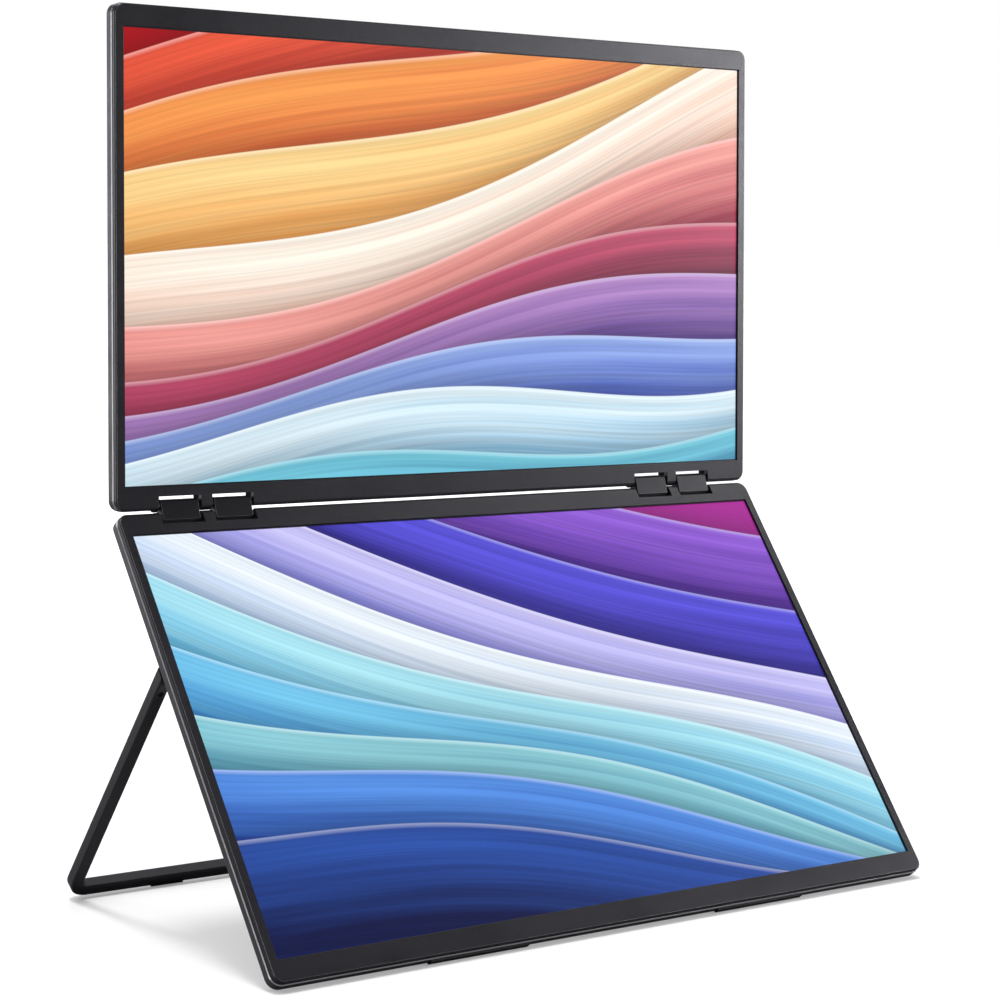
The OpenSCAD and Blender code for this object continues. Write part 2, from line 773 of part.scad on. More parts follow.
module usb_c_sockets() {
    color([0.7, 0.7, 0.7]) on_lower() for (i = [0, 1]) at_side(port_ys[i], port_face)
        socket(usb_w, usb_h) {
            stadium(usb_w, usb_h);
            stadium(usb_w - 2 * shell_t, usb_h - 2 * shell_t);
        }
}

module mini_hdmi_socket() {
    color([0.7, 0.7, 0.7]) on_lower() at_side(port_ys[2], port_face) socket(hdmi_w, usb_h) {
        cut_outline(hdmi_w, usb_h);
        cut_outline(hdmi_w - 2 * shell_t, usb_h - 2 * shell_t);
    }
}

// Button with a flange behind the wall
module button(y) {
    color([0.12, 0.12, 0.12]) on_lower() at_side(y, button_play - inner_x) {
        rotate([0, -90, 0]) rotate([0, 0, 90]) {
            linear_extrude(button_play + side_wall + button_proud) stadium(button_l, button_w);
            translate([0, 0, -flange_t]) linear_extrude(flange_t)
                stadium(button_l + 2 * flange_rim, button_w + 2 * flange_rim);
        }
    }
}

module power_button() {
    button(button_ys[0]);
}

module menu_button() {
    button(button_ys[1]);
}

module button_board() {
    color([0.05, 0.35, 0.18]) on_lower()
        translate([switch_t - switch_face, board_top - button_pitch - button_l - post_r, housing_floor])
            cube([board_t, button_pitch + button_l, port_z + button_w - housing_floor]);
}

module button_switches() {
    color([0.75, 0.75, 0.72]) on_lower() for (y = button_ys) at_side(y, -switch_face)
        translate([0, -switch_w / 2, -switch_w / 2]) cube([switch_t, switch_w, switch_w]);
}

module stand_brackets() {
    color([0.35, 0.35, 0.36]) on_lower() for (s = [-1, 1]) difference() {
        translate([s * (inner_x - run_play - bracket_block / 2), 0, 0])
            slab(bracket_block, -pivot_drop - bracket_block / 2, -pivot_drop + bracket_block / 2,
                housing_floor, backlight_z - stand_gap);
        along_x(-case_w / 2, case_w / 2, -pivot_drop, pivot_z, pin_r + press_play);
    }
}

module stand_pins() {
    color([0.65, 0.65, 0.66]) on_lower() for (s = [-1, 1]) {
        a = s * (inner_x - bracket_block);
        b = s * (leg_inner_x + pin_reach - run_play);
        along_x(min(a, b), max(a, b), -pivot_drop, pivot_z, pin_r);
    }
}

// Rubber strip with its lowest corner cut flat to the table
module front_feet() {
    y0 = foot_corner[0];
    z0 = foot_corner[1];
    color([0.06, 0.06, 0.06]) on_lower() for (s = [-1, 1]) translate([s * foot_reach, 0, 0])
        profile_x(foot_l, [
            [-case_top, z0], [y0 + foot_cut / cos(lower_lean), z0],
            [y0, z0 + foot_cut / sin(lower_lean)], [y0, z0 + foot_w], [-case_top, z0 + foot_w]
        ]);
}

// Kickstand, in the frame of its pivot, with its legs along -Y
bar_section = [
    [-bar_w / 2 + bar_bevel, pin_inset - bar_t], [bar_w / 2 - bar_bevel, pin_inset - bar_t],
    [bar_w / 2, pin_inset - bar_t + bar_bevel], [bar_w / 2, pin_inset - bar_bevel],
    [bar_w / 2 - bar_bevel, pin_inset], [-bar_w / 2 + bar_bevel, pin_inset],
    [-bar_w / 2, pin_inset - bar_bevel], [-bar_w / 2, pin_inset - bar_t + bar_bevel]
];
bend_r = stand_corner_r - bar_w / 2;

module leg_length(y0, y1) {
    translate([0, y1, 0]) rotate([90, 0, 0]) linear_extrude(y1 - y0) polygon(bar_section);
}

module leg_end() {
    reach = end_y + over;
    intersection() {
        leg_length(0, reach);
        union() {
            along_x(-bar_w, bar_w, 0, 0, pin_inset);
            profile_x(bar_w + 2 * over, [
                [0, 0], [pin_inset * sin(stand_angle), pin_inset * cos(stand_angle)],
                [end_y, pin_inset - bar_t], [0, pin_inset - bar_t]
            ]);
        }
    }
}

module stand_frame() {
    low_y = -stand_l + stand_corner_r;
    color([0.24, 0.24, 0.26]) on_stand() difference() {
        union() {
            for (s = [-1, 1]) {
                translate([s * leg_x, 0, 0]) {
                    leg_end();
                    leg_length(low_y, 0);
                }
                translate([s * (leg_x - bend_r), low_y, 0]) rotate([0, 0, s > 0 ? -90 : 180])
                    rotate_extrude(angle = 90) translate([bend_r, 0]) polygon(bar_section);
            }
            translate([-leg_x + bend_r, -stand_l + bar_w / 2, 0]) rotate([90, 0, 90])
                linear_extrude(2 * (leg_x - bend_r)) polygon(bar_section);
        }
        for (s = [-1, 1]) {
            a = s * (leg_inner_x - over);
            b = s * (leg_inner_x + pin_reach);
            along_x(min(a, b), max(a, b), 0, 0, pin_r + run_play);
            translate([s * leg_x, 0, pin_inset - leaf_t])
                linear_extrude(leaf_t + over) leaf_outline(run_play);
            translate([s * leg_x, leaf_screw_y, pin_inset - leaf_t - screw_l])
                cylinder(h = screw_l + over, r = screw_r + press_play);
        }
    }
}

leaf_y = -pin_r - leaf_t;
leaf_screw_y = leaf_y - leaf_l + leaf_w / 2;

// Outline of a leaf or its seat, round at the end that holds the screw
module leaf_outline(play) {
    half = leaf_w / 2 + play;
    translate([-half, leaf_screw_y]) square([2 * half, leaf_y + play - leaf_screw_y]);
    translate([0, leaf_screw_y]) circle(r = half);
}

module stand_leaves() {
    color([0.42, 0.42, 0.41]) on_stand() for (s = [-1, 1]) difference() {
        translate([s * leg_x, 0, pin_inset - leaf_t]) linear_extrude(leaf_t) leaf_outline(0);
        translate([s * leg_x, leaf_screw_y, 0]) {
            translate([0, 0, pin_inset - leaf_t - over])
                cylinder(h = leaf_t + 2 * over, r = screw_r + press_play);
            translate([0, 0, pin_inset - leaf_t / 2]) cylinder(h = leaf_t, r = leaf_screw_r + press_play);
        }
    }
}

module stand_screws() {
    color([0.1, 0.1, 0.1]) on_stand() for (s = [-1, 1]) translate([s * leg_x, leaf_screw_y, 0]) {
        translate([0, 0, pin_inset - leaf_t / 2]) cylinder(h = leaf_t / 2 + stand_gap / 2, r = leaf_screw_r);
        translate([0, 0, pin_inset - leaf_t - screw_l + press_play])
            cylinder(h = leaf_t / 2 + screw_l, r = screw_r);
    }
}

module stand_feet() {
    y0 = -stand_l - foot_t;
    turn = stand_angle - lower_lean;
    color([0.06, 0.06, 0.06]) on_stand() for (s = [-1, 1]) translate([s * stand_foot_reach, 0, 0])
        profile_x(stand_foot_l, [
            [-stand_l, pin_inset], [y0 + foot_cut / cos(turn), pin_inset],
            [y0, pin_inset - foot_cut / sin(turn)], [y0, pin_inset - foot_w], [-stand_l, pin_inset - foot_w]
        ]);
}

// Hinge blocks, in the frame of the links
block_top = axis_gap / 2 + block_end;
block_outline = [
    [-block_top, block_front - block_low_bevel], [-block_top + block_low_bevel, block_front],
    each [for (a = [0:15:90]) [
        block_top - block_top_r * (1 - sin(a)), block_front - block_top_r * (1 - cos(a))
    ]],
    [block_top, block_rear_bevel - block_rear], [block_top - block_rear_bevel, -block_rear],
    [block_rear_bevel - block_top, -block_rear], [-block_top, block_rear_bevel - block_rear]
];

module hinge_block(i) {
    color([0.15, 0.15, 0.16]) on_links() translate([block_xs[i], 0, 0]) difference() {
        profile_x(block_w, block_outline);
        for (s = [-1, 1]) along_x(-block_w, block_w, s * axis_gap / 2, 0, shaft_r + run_play);
    }
}

module hinge_block_1() {
    hinge_block(0);
}

module hinge_block_2() {
    hinge_block(1);
}

module hinge_block_3() {
    hinge_block(2);
}

module hinge_block_4() {
    hinge_block(3);
}

module friction_washers() {
    color([0.55, 0.55, 0.57]) on_links() for (x = block_xs, s = [-1, 1]) difference() {
        along_x(x - block_w / 2 - washer_t, x - block_w / 2, s * axis_gap / 2, 0, washer_r);
        along_x(x - block_w, x, s * axis_gap / 2, 0, shaft_r + run_play);
    }
}

// Upper panel
module upper_bezel() {
    color([0.16, 0.16, 0.17]) on_upper() bezel(1);
}

module upper_rear_cover() {
    color([0.3, 0.3, 0.32]) on_upper() cover_body(1);
}

module upper_screen() {
    color([0.9, 0.45, 0.35]) on_upper() screen_layer(glass_z - glass_t, glass_z);
}

module upper_backlight() {
    color([0.7, 0.7, 0.72]) on_upper() screen_layer(backlight_z, glass_z - glass_t);
}

module upper_light_pads() {
    color([0.15, 0.15, 0.15]) on_upper() light_pads();
}

module upper_hinge_brackets() {
    color([0.2, 0.2, 0.21]) on_upper() brackets(1);
}

module upper_hinge_shafts() {
    color([0.6, 0.6, 0.62]) on_upper() shafts(1);
}

module upper_hinge_screws() {
    color([0.5, 0.5, 0.52]) on_upper() bracket_screws(1);
}

module upper_cover_screws() {
    color([0.1, 0.1, 0.1]) on_upper() cover_screws();
}

module driver_board() {
    color([0.05, 0.35, 0.18]) on_upper()
        slab(driver_w, 2 * driver_h, 3 * driver_h, floor_z, floor_z + board_t);
}

lower_bezel();
lower_rear_cover();
lower_screen();
lower_backlight();
lower_light_pads();
lower_hinge_brackets();
lower_hinge_shafts();
lower_hinge_screws();
lower_cover_screws();
main_board();
board_chips();
board_screws();
usb_c_sockets();
mini_hdmi_socket();
button_board();
button_switches();
power_button();
menu_button();
stand_brackets();
stand_pins();
front_feet();
stand_frame();
stand_leaves();
stand_screws();
stand_feet();
hinge_block_1();
hinge_block_2();
hinge_block_3();
hinge_block_4();
friction_washers();
upper_bezel();
upper_rear_cover();
upper_screen();
upper_backlight();
upper_light_pads();
upper_hinge_brackets();
upper_hinge_shafts();
upper_hinge_screws();
upper_cover_screws();
driver_board();
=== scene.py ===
"""Looks of a dual portable monitor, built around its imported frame.

Two screens stand one above the other on a wire-frame kickstand. The frame brings every
solid piece in metres. This script gives each one its finish, models the small visible
parts that the solids leave plain, and sets the floor, the lights and the camera.
"""

import logging
import math
from collections.abc import Callable, Iterable, Sequence
from dataclasses import dataclass, field
from enum import Enum

import bpy
import bmesh
from mathutils import Matrix, Vector


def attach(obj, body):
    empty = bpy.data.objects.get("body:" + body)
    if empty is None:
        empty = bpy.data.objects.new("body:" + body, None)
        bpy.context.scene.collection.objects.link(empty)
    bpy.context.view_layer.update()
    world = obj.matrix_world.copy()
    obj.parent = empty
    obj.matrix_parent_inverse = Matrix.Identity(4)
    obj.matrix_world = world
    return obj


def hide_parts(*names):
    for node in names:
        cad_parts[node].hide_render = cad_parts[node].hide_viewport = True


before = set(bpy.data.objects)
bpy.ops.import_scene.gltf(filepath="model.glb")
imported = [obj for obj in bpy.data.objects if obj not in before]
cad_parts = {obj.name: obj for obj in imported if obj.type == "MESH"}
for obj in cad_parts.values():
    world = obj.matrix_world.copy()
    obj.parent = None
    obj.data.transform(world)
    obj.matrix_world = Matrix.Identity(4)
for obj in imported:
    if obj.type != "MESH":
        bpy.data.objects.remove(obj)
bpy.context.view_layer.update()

log = logging.getLogger("dual_monitor")

MM = 0.001
BLACK = (0.0, 0.0, 0.0, 1.0)
WHITE = (1.0, 1.0, 1.0, 1.0)
Colour = tuple[float, float, float]
Place = tuple[float, float, float]
Range = tuple[float, float]
Piece = bpy.types.Object
Material = bpy.types.Material
Tree = bpy.types.NodeTree
Node = bpy.types.Node
Socket = bpy.types.NodeSocket


class Body(Enum):
    """The rigid bodies that pieces ride on."""

    LOWER = "lower_monitor"
    UPPER = "upper_monitor"
    STAND = "kickstand"


class Slot(Enum):
    """The record's material slots."""

    DARK_STEEL = "dark_steel"
    SOCKET_STEEL = "socket_steel"
    CHIP_BLACK = "chip_black"


def shade(red: float, green: float, blue: float) -> Colour:
    """Turns a colour as it shows on a display into linear light.

    Args:
        red: Display value from 0 to 255.
        green: Display value from 0 to 255.
        blue: Display value from 0 to 255.

    Returns:
        The linear red, green and blue.
    """

    def linear(value: float) -> float:
        """Undoes the display's tone curve for one channel."""
        share = value / 255
        return share / 12.92 if share <= 0.04045 else ((share + 0.055) / 1.055) ** 2.4

    return linear(red), linear(green), linear(blue)


def rgba(colour: Colour) -> tuple[float, float, float, float]:
    """Adds full alpha to a colour, as sockets want it."""
    return (*colour, 1.0)


class Sketch:
    """Short hand for drawing a node tree."""

    def __init__(self, tree: Tree) -> None:
        """Keeps the tree that the nodes go into."""
        self.tree = tree

    def feed(self, node: Node, inputs: dict) -> None:
        """Links or sets inputs of a node.

        Args:
            node: The node.
            inputs: Socket name or number to a socket to link or a value to set.
        """
        for name, value in inputs.items():
            socket = node.inputs[name]
            if isinstance(value, Socket):
                self.tree.links.new(value, socket)
            else:
                socket.default_value = value

    def put(self, kind: str, inputs: dict | None = None, **settings) -> Node:
        """Adds a node, sets it up and links it.

        Args:
            kind: Node type without its ShaderNode prefix.
            inputs: What its inputs are fed.
            **settings: Properties of the node.

        Returns:
            The new node.
        """
        node = self.tree.nodes.new("ShaderNode" + kind)
        for name, value in settings.items():
            setattr(node, name, value)
        self.feed(node, inputs or {})
        return node

    def maths(self, operation: str, *values: object, clamp: bool = False) -> Socket:
        """Adds a Math node with these inputs, kept between 0 and 1 if clamped."""
        inputs = dict(enumerate(values))
        return self.put("Math", inputs, operation=operation, use_clamp=clamp).outputs[0]

    def plus(self, first: object, second: object, clamp: bool = False) -> Socket:
        """Adds two values."""
        return self.maths("ADD", first, second, clamp=clamp)

    def minus(self, first: object, second: object) -> Socket:
        """Takes the second value from the first."""
        return self.maths("SUBTRACT", first, second)

    def times(self, first: object, second: object) -> Socket:
        """Multiplies two values."""
        return self.maths("MULTIPLY", first, second)

    def dot(self, first: object, second: object) -> Socket:
        """Gives the dot product of two vectors."""
        node = self.put("VectorMath", {0: first, 1: second}, operation="DOT_PRODUCT")
        return node.outputs["Value"]

    def blend(self, share: object, first: object, second: object, kind: str = "MIX") -> Socket:
        """Lays a share of the second colour over the first, in Blender's blend type."""
        inputs = {0: share, 6: first, 7: second}
        return self.put("Mix", inputs, data_type="RGBA", blend_type=kind).outputs[2]

    def spread(
        self, value: object, low: float, high: float, to_low: object, to_high: object
    ) -> Socket:
        """Maps a range of values to another one, without running past its ends.

        Args:
            value: Socket to read.
            low: Value that gives to_low.
            high: Value that gives to_high.
            to_low: Result at the low end, a socket or a number.
            to_high: Result at the high end, a socket or a number.

        Returns:
            The result's socket.
        """
        given = {"Value": value, "From Min": low, "From Max": high}
        given |= {"To Min": to_low, "To Max": to_high}
        return self.put("MapRange", given).outputs["Result"]

    def rise(self, value: object, low: float, high: float) -> Socket:
        """Gives 0 up to the low value, 1 from the high value on and a ramp between them."""
        return self.spread(value, low, high, 0.0, 1.0)

    def between(self, share: object, none: object, full: object) -> Socket:
        """Goes from one value to another as the share goes from 0 to 1."""
        return self.spread(share, 0.0, 1.0, none, full)

    def grey(self, value: object) -> Socket:
        """Makes a grey of one value."""
        return self.put("CombineColor", {i: value for i in range(3)}).outputs[0]

    def noise(self, place: object, scale: object, flat: bool = False, **inputs) -> Socket:
        """Adds a Noise Texture, which reads only two coordinates if it is flat."""
        given = {"Vector": place, "Scale": scale, **inputs}
        return self.put("TexNoise", given, noise_dimensions="2D" if flat else "3D").outputs[0]

    def place(self) -> Socket:
        """Reads the point on the object."""
        return self.put("TexCoord").outputs["Object"]

    def group(self, tree: Tree, **inputs) -> Node:
        """Places a node group and sets its inputs by name."""
        return self.put("Group", inputs, node_tree=tree)


class GroupSketch(Sketch):
    """Sketch of a new shader node group."""

    kinds = {float: "NodeSocketFloat", Vector: "NodeSocketVector", tuple: "NodeSocketColor"}

    def __init__(self, name: str, inputs: dict[str, object], outputs: dict[str, type]) -> None:
        """Starts the group.

        Args:
            name: Name of the group.
            inputs: Socket name to its value: a number, a vector or a colour.
            outputs: Socket name to the type that its values have.
        """
        super().__init__(bpy.data.node_groups.new(name, "ShaderNodeTree"))
        sockets = self.tree.interface
        for label, value in inputs.items():
            kind = self.kinds[type(value)]
            sockets.new_socket(label, in_out="INPUT", socket_type=kind).default_value = value
        for label, kind in outputs.items():
            sockets.new_socket(label, in_out="OUTPUT", socket_type=self.kinds[kind])
        self.given = self.tree.nodes.new("NodeGroupInput").outputs
        self.out = self.tree.nodes.new("NodeGroupOutput").inputs

    def give(self, **results) -> Tree:
        """Links the group's outputs.

        Args:
            **results: Name of each output to its source.

        Returns:
            The group.
        """
        for label, socket in results.items():
            self.tree.links.new(socket, self.out[label])
        return self.tree


@dataclass
class Effects:
    """Shader node groups that several finishes share, each built once."""

    cell_share: float = 0.5
    contrast_gain: float = 4.0
    streak_scale: Place = (1.0, 6.0, 6.0)
    streak_turn: Place = (0.3, 0.5, 0.7)
    touched: Range = (0.2, 0.34)
    specks_per_patch: float = 60.0
    dusty: Range = (0.7, 0.78)
    drift: tuple[float, ...] = (0.3, 0.7, -0.2, 0.2)
    bevel_tilt: float = math.sqrt(0.5)
    off_bevel: Range = (0.05, 0.1)
    outer_side: Range = (-0.6, -0.5)
    near_front: Range = (0.72, 0.8)
    still_flat: Range = (0.85, 0.98)
    edge_samples: int = 6
    broad_scale: Range = (1.4, 26.0)
    broad_share: float = 0.9
    fine_scale: float = 130.0
    fine_range: tuple[float, ...] = (0.25, 0.75, 0.86, 1.14)
    rim_width: float = 0.012
    rim_share: float = 0.3
    fall_width: float = 0.09
    fall_share: float = 0.55
    fall_power: float = 1.6
    crisp: float = 0.0012

    def __post_init__(self) -> None:
        """Builds every group."""
        self.grain = self._grain()
        self.handling = self._handling()
        self.bevels = self._bevels()
        self.rubbed = self._rubbed()
        self.ribbon = self._ribbon()

    def _grain(self) -> Tree:
        """Builds the fine pitted grain of blasted metal and moulded plastic.

        Returns:
            The group.
        """
        draw = GroupSketch(
            "fine_grain", {"Size": 0.4 * MM, "Contrast": 0.2}, {"Height": float, "Shade": float}
        )
        place = draw.place()
        scale = draw.maths("DIVIDE", 1.0, draw.given["Size"])
        pits = draw.noise(place, scale, Detail=3.0, Roughness=0.65)
        cells = draw.put("TexVoronoi", {"Vector": place, "Scale": scale}, feature="F1")
        height = draw.plus(pits, draw.times(cells.outputs["Distance"], self.cell_share))
        gain = draw.times(draw.given["Contrast"], self.contrast_gain)
        strength = draw.times(draw.minus(pits, 0.5), gain)
        return draw.give(Height=height, Shade=draw.plus(strength, 1.0))

    def _handling(self) -> Tree:
        """Builds the soft patches, faint streaks and specks of dust that use leaves.

        Returns:
            The group.
        """
        draw = GroupSketch(
            "handling",
            {"Size": 50 * MM, "Amount": 0.3},
            {"Mask": float, "Dust": float, "Tone": float},
        )
        place = draw.place()
        amount = draw.given["Amount"]
        scale = draw.maths("DIVIDE", 1.0, draw.given["Size"])
        patches = draw.noise(place, scale, Detail=4.0, Distortion=0.6)
        stretch = {"Vector": place, "Scale": self.streak_scale, "Rotation": self.streak_turn}
        drawn = draw.put("Mapping", stretch).outputs[0]
        streaks = draw.noise(drawn, scale, Detail=5.0, Roughness=0.7)
        mask = draw.rise(draw.times(patches, streaks), *self.touched)
        specks = draw.noise(place, draw.times(scale, self.specks_per_patch), Detail=2.0)
        drift = draw.times(draw.spread(patches, *self.drift), amount)
        return draw.give(
            Mask=draw.times(mask, amount),
            Dust=draw.times(draw.rise(specks, *self.dusty), amount),
            Tone=draw.plus(drift, 1.0),
        )

    def _bevels(self) -> Tree:
        """Builds the mask of the bevels between a panel's front and its outer edges.

        Lip limits it to the bevels' front edge, and Cap to bevels that look less far
        to the Far side.

        Returns:
            The group.
        """
        draw = GroupSketch(
            "bare_bevels",
            {"Front": Vector(), "Far": Vector(), "Radius": 0.3 * MM, "Lip": 0.0, "Cap": 2.0},
            {"Mask": float},
        )
        front = draw.given["Front"]
        normal = draw.put("TexCoord").outputs["Normal"]
        to_front = draw.dot(normal, front)
        to_far = draw.dot(normal, draw.given["Far"])
        slant = draw.maths("ABSOLUTE", draw.minus(to_front, self.bevel_tilt))
        capped = draw.maths("LESS_THAN", to_far, draw.given["Cap"])
        outer = draw.times(draw.rise(to_far, *self.outer_side), capped)
        mask = draw.times(draw.spread(slant, *self.off_bevel, 1.0, 0.0), outer)
        rounded = draw.put("Bevel", {"Radius": draw.given["Radius"]}, samples=self.edge_samples)
        edge = draw.rise(draw.dot(rounded.outputs[0], front), *self.near_front)
        lip = draw.between(draw.given["Lip"], 1.0, edge)
        return draw.give(Mask=draw.times(mask, lip))

    def _rubbed(self) -> Tree:
        """Builds the mask of the sharp edges that get a painted highlight.

        Returns:
            The group.
        """
        draw = GroupSketch("painted_edge_highlights", {"Width": 0.3 * MM, "Amount": 0.5}, {"Mask": float})
        rounded = draw.put("Bevel", {"Radius": draw.given["Width"]}, samples=self.edge_samples)
        true = draw.put("NewGeometry").outputs["Normal"]
        flat = draw.dot(rounded.outputs[0], true)
        mask = draw.minus(1.0, draw.rise(flat, *self.still_flat))
        return draw.give(Mask=draw.times(mask, draw.given["Amount"]))

    def _ribbon(self) -> Tree:
        """Builds one painted ribbon of the pictures, laid over the colour below it.

        Returns:
            The group.
        """
        numbers = ("Across", "Up", "Edge", "Slope", "Swell", "Waves", "Phase", "Depth")
        colours = {"Base": BLACK, "Near": WHITE, "Far": WHITE}
        draw = GroupSketch("ribbon", dict.fromkeys(numbers, 0.0) | colours, {"Colour": tuple})
        given = draw.given
        across = given["Across"]
        turn = draw.plus(draw.times(across, given["Waves"]), given["Phase"])
        swell = draw.times(draw.maths("SINE", turn), given["Swell"])
        line = draw.plus(draw.times(across, given["Slope"]), given["Edge"])
        below = draw.minus(draw.plus(line, swell), given["Up"])
        share = draw.maths("DIVIDE", below, given["Depth"], clamp=True)
        along, down = self.broad_scale
        flow = draw.put("CombineXYZ", {0: draw.times(across, along), 1: draw.times(below, down)})
        broad = draw.noise(flow.outputs[0], 1.0, flat=True, Detail=3.0)
        thin = draw.put("CombineXYZ", {0: across, 1: draw.times(below, self.fine_scale)})
        fine = draw.noise(thin.outputs[0], 1.0, flat=True, Detail=2.0)
        wander = draw.times(draw.minus(broad, 0.5), self.broad_share)
        body = draw.blend(draw.plus(share, wander, clamp=True), given["Near"], given["Far"])
        lines = draw.grey(draw.spread(fine, *self.fine_range))
        lined = draw.blend(1.0, body, lines, "MULTIPLY")
        rim = draw.times(draw.spread(below, 0.0, self.rim_width, 1.0, 0.0), self.rim_share)
        lit = draw.blend(rim, lined, WHITE)
        fall = draw.times(draw.rise(below, -self.fall_width, 0.0), self.fall_share)
        shadow = draw.blend(draw.maths("POWER", fall, self.fall_power), given["Base"], BLACK)
        mask = draw.rise(below, -self.crisp, self.crisp)
        return draw.give(Colour=draw.blend(mask, shadow, lit))


def new_material(name: str) -> tuple[Material, Sketch, Node]:
    """Starts a material.

    Args:
        name: Name of the material.

    Returns:
        The material, its sketch and its Principled BSDF.
    """
    material = bpy.data.materials.new(name)
    material.use_nodes = True
    tree = material.node_tree
    return material, Sketch(tree), tree.nodes["Principled BSDF"]


@dataclass
class Skin:
    """Colour, roughness and metal of a finish while its layers are laid on."""

    draw: Sketch
    colour: object
    rough: object
    metal: object

    def cover(self, mask: object, colour: Colour, rough: float, metal: float) -> None:
        """Lays another surface over the skin.

        Args:
            mask: Where it lies.
            colour: Its colour.
            rough: Its roughness.
            metal: How metallic it is.
        """
        self.colour = self.draw.blend(mask, self.colour, rgba(colour))
        self.rough = self.draw.between(mask, self.rough, rough)
        self.metal = self.draw.between(mask, self.metal, metal)


@dataclass(frozen=True)
class BareBevels:
    """Where a piece's bevels are uncoated metal.

    Those on the side that looks away from far stay painted, and so do those that look
    to far by more than cap.
    """

    front: Vector
    far: Vector
    cap: float = 2.0


@dataclass(frozen=True)
class Finish:
    """A solid surface with grain, handling marks and rounded light on its edges."""

    name: str
    colour: Colour
    roughness: float = 0.5
    metal: float = 0.0
    specular: float = 0.5
    grain: float = 0.3 * MM
    contrast: float = 0.1
    bump: float = 0.03 * MM
    handling: float = 0.3
    edge: float = 0.15 * MM
    edge_samples: int = 4
    coat: float = 0.0
    coat_rough: float = 0.2
    gloss_grain: float = 0.0
    polish: float = -0.22
    dust_share: float = 0.35
    dust_colour: Colour = (0.35, 0.34, 0.33)
    # Strength of the painted highlight along sharp edges.
    rub: float = 0.0
    rub_width: float = 0.35 * MM
    # Colour of uncoated metal on bevels, and of the painted highlight along sharp edges.
    bare: Colour = (0.26, 0.26, 0.275)
    bare_rough: float = 0.36
    lip: float = 0.0
    # Half-width within which side walls get painted shade, near black and matt; 0 leaves none.
    recess: float = 0.0
    recess_colour: Colour = (0.004, 0.004, 0.005)
    recess_rough: float = 0.95
    side_tilt: float = 0.7
    tint: Colour = (0.93, 0.915, 1.0)

    def build(self, effects: Effects, bevels: BareBevels | None = None) -> Material:
        """Makes the material.

        Args:
            effects: The shared node groups.
            bevels: Where the bevels are uncoated metal, if they are.

        Returns:
            The material, ready to be worn.
        """
        material, draw, surface = new_material(self.name)
        grain = draw.group(effects.grain, Size=self.grain, Contrast=self.contrast).outputs
        handling = draw.group(effects.handling, Amount=self.handling)
        marks = dict(handling.outputs.items())
        colour = self._paint(draw, effects, grain["Shade"], marks)
        skin = Skin(draw, colour, self._gloss(draw, grain["Shade"], marks["Mask"]), self.metal)
        # Painted shade: a near-black, matt colour on the side walls inside the outline, such as the
        # notches' walls.
        if self.recess:
            skin.cover(self._inside(draw), self.recess_colour, self.recess_rough, 0.0)
        if bevels:
            sides = {"Front": bevels.front, "Far": bevels.far, "Cap": bevels.cap}
            edges = draw.group(effects.bevels, Lip=self.lip, **sides)
            skin.cover(edges.outputs["Mask"], self.bare, self.bare_rough, 1.0)
        rounded = draw.put("Bevel", {"Radius": self.edge}, samples=self.edge_samples)
        relief = {"Height": grain["Height"], "Distance": self.bump, "Normal": rounded.outputs[0]}
        worn = {
            "Base Color": skin.colour,
            "Metallic": skin.metal,
            "Roughness": skin.rough,
            "Normal": draw.put("Bump", relief).outputs[0],
            "Specular IOR Level": self.specular,
            "Specular Tint": rgba(self.tint),
            "Coat Weight": self.coat,
            "Coat Roughness": self.coat_rough,
        }
        draw.feed(surface, worn)
        return material

    def _paint(
        self, draw: Sketch, effects: Effects, shades: Socket, marks: dict[str, Socket]
    ) -> Socket:
        """Paints the colour with its grain, its patches, its dust and a painted highlight along its
        sharp edges.

        Args:
            draw: Sketch of the material.
            effects: The shared node groups.
            shades: How the grain changes the tone.
            marks: Outputs of the handling group.

        Returns:
            The colour's socket.
        """
        tone = draw.grey(draw.times(shades, marks["Tone"]))
        toned = draw.blend(1.0, rgba(self.colour), tone, "MULTIPLY")
        dust = draw.times(marks["Dust"], self.dust_share)
        painted = draw.blend(dust, toned, rgba(self.dust_colour))
        if not self.rub:
            return painted
        # Painted highlight: a light line blended into the colour along sharp edges.
        edges = draw.group(effects.rubbed, Width=self.rub_width, Amount=self.rub)
        return draw.blend(edges.outputs["Mask"], painted, rgba(self.bare))

    def _gloss(self, draw: Sketch, shades: Socket, touched: Socket) -> Socket:
        """Works out the roughness, which hands polish and the grain breaks up.

        Args:
            draw: Sketch of the material.
            shades: How the grain changes the tone.
            touched: Where hands were.

        Returns:
            The roughness's socket.
        """
        polished = draw.plus(draw.times(touched, self.polish), self.roughness)
        grit = draw.times(draw.minus(shades, 1.0), self.gloss_grain)
        return draw.plus(polished, grit, clamp=True)

    def _inside(self, draw: Sketch) -> Socket:
        """Marks the side walls inside the casing's outline, such as those of the notches, where
        painted shade goes.

        Args:
            draw: Sketch of the material.

        Returns:
            The mask's socket.
        """
        place = draw.put("TexCoord")
        reach, tilt = (
            draw.maths("ABSOLUTE", draw.put("SeparateXYZ", {0: place.outputs[side]}).outputs[0])
            for side in ("Object", "Normal")
        )
        near = draw.maths("LESS_THAN", reach, self.recess)
        return draw.times(near, draw.maths("GREATER_THAN", tilt, self.side_tilt))


@dataclass(frozen=True)
class Ribbon:
    """One ribbon of a picture, in shares of its width and height, with display colours."""

    edge: float
    slope: float
    swell: float
    waves: float
    phase: float
    near: Colour
    far: Colour
    depth: float

    def inputs(self) -> dict[str, object]:
        """Gives the ribbon's values by the names of its group's sockets."""
        values = {label.capitalize(): value for label, value in vars(self).items()}
        return values | {"Near": rgba(shade(*self.near)), "Far": rgba(shade(*self.far))}


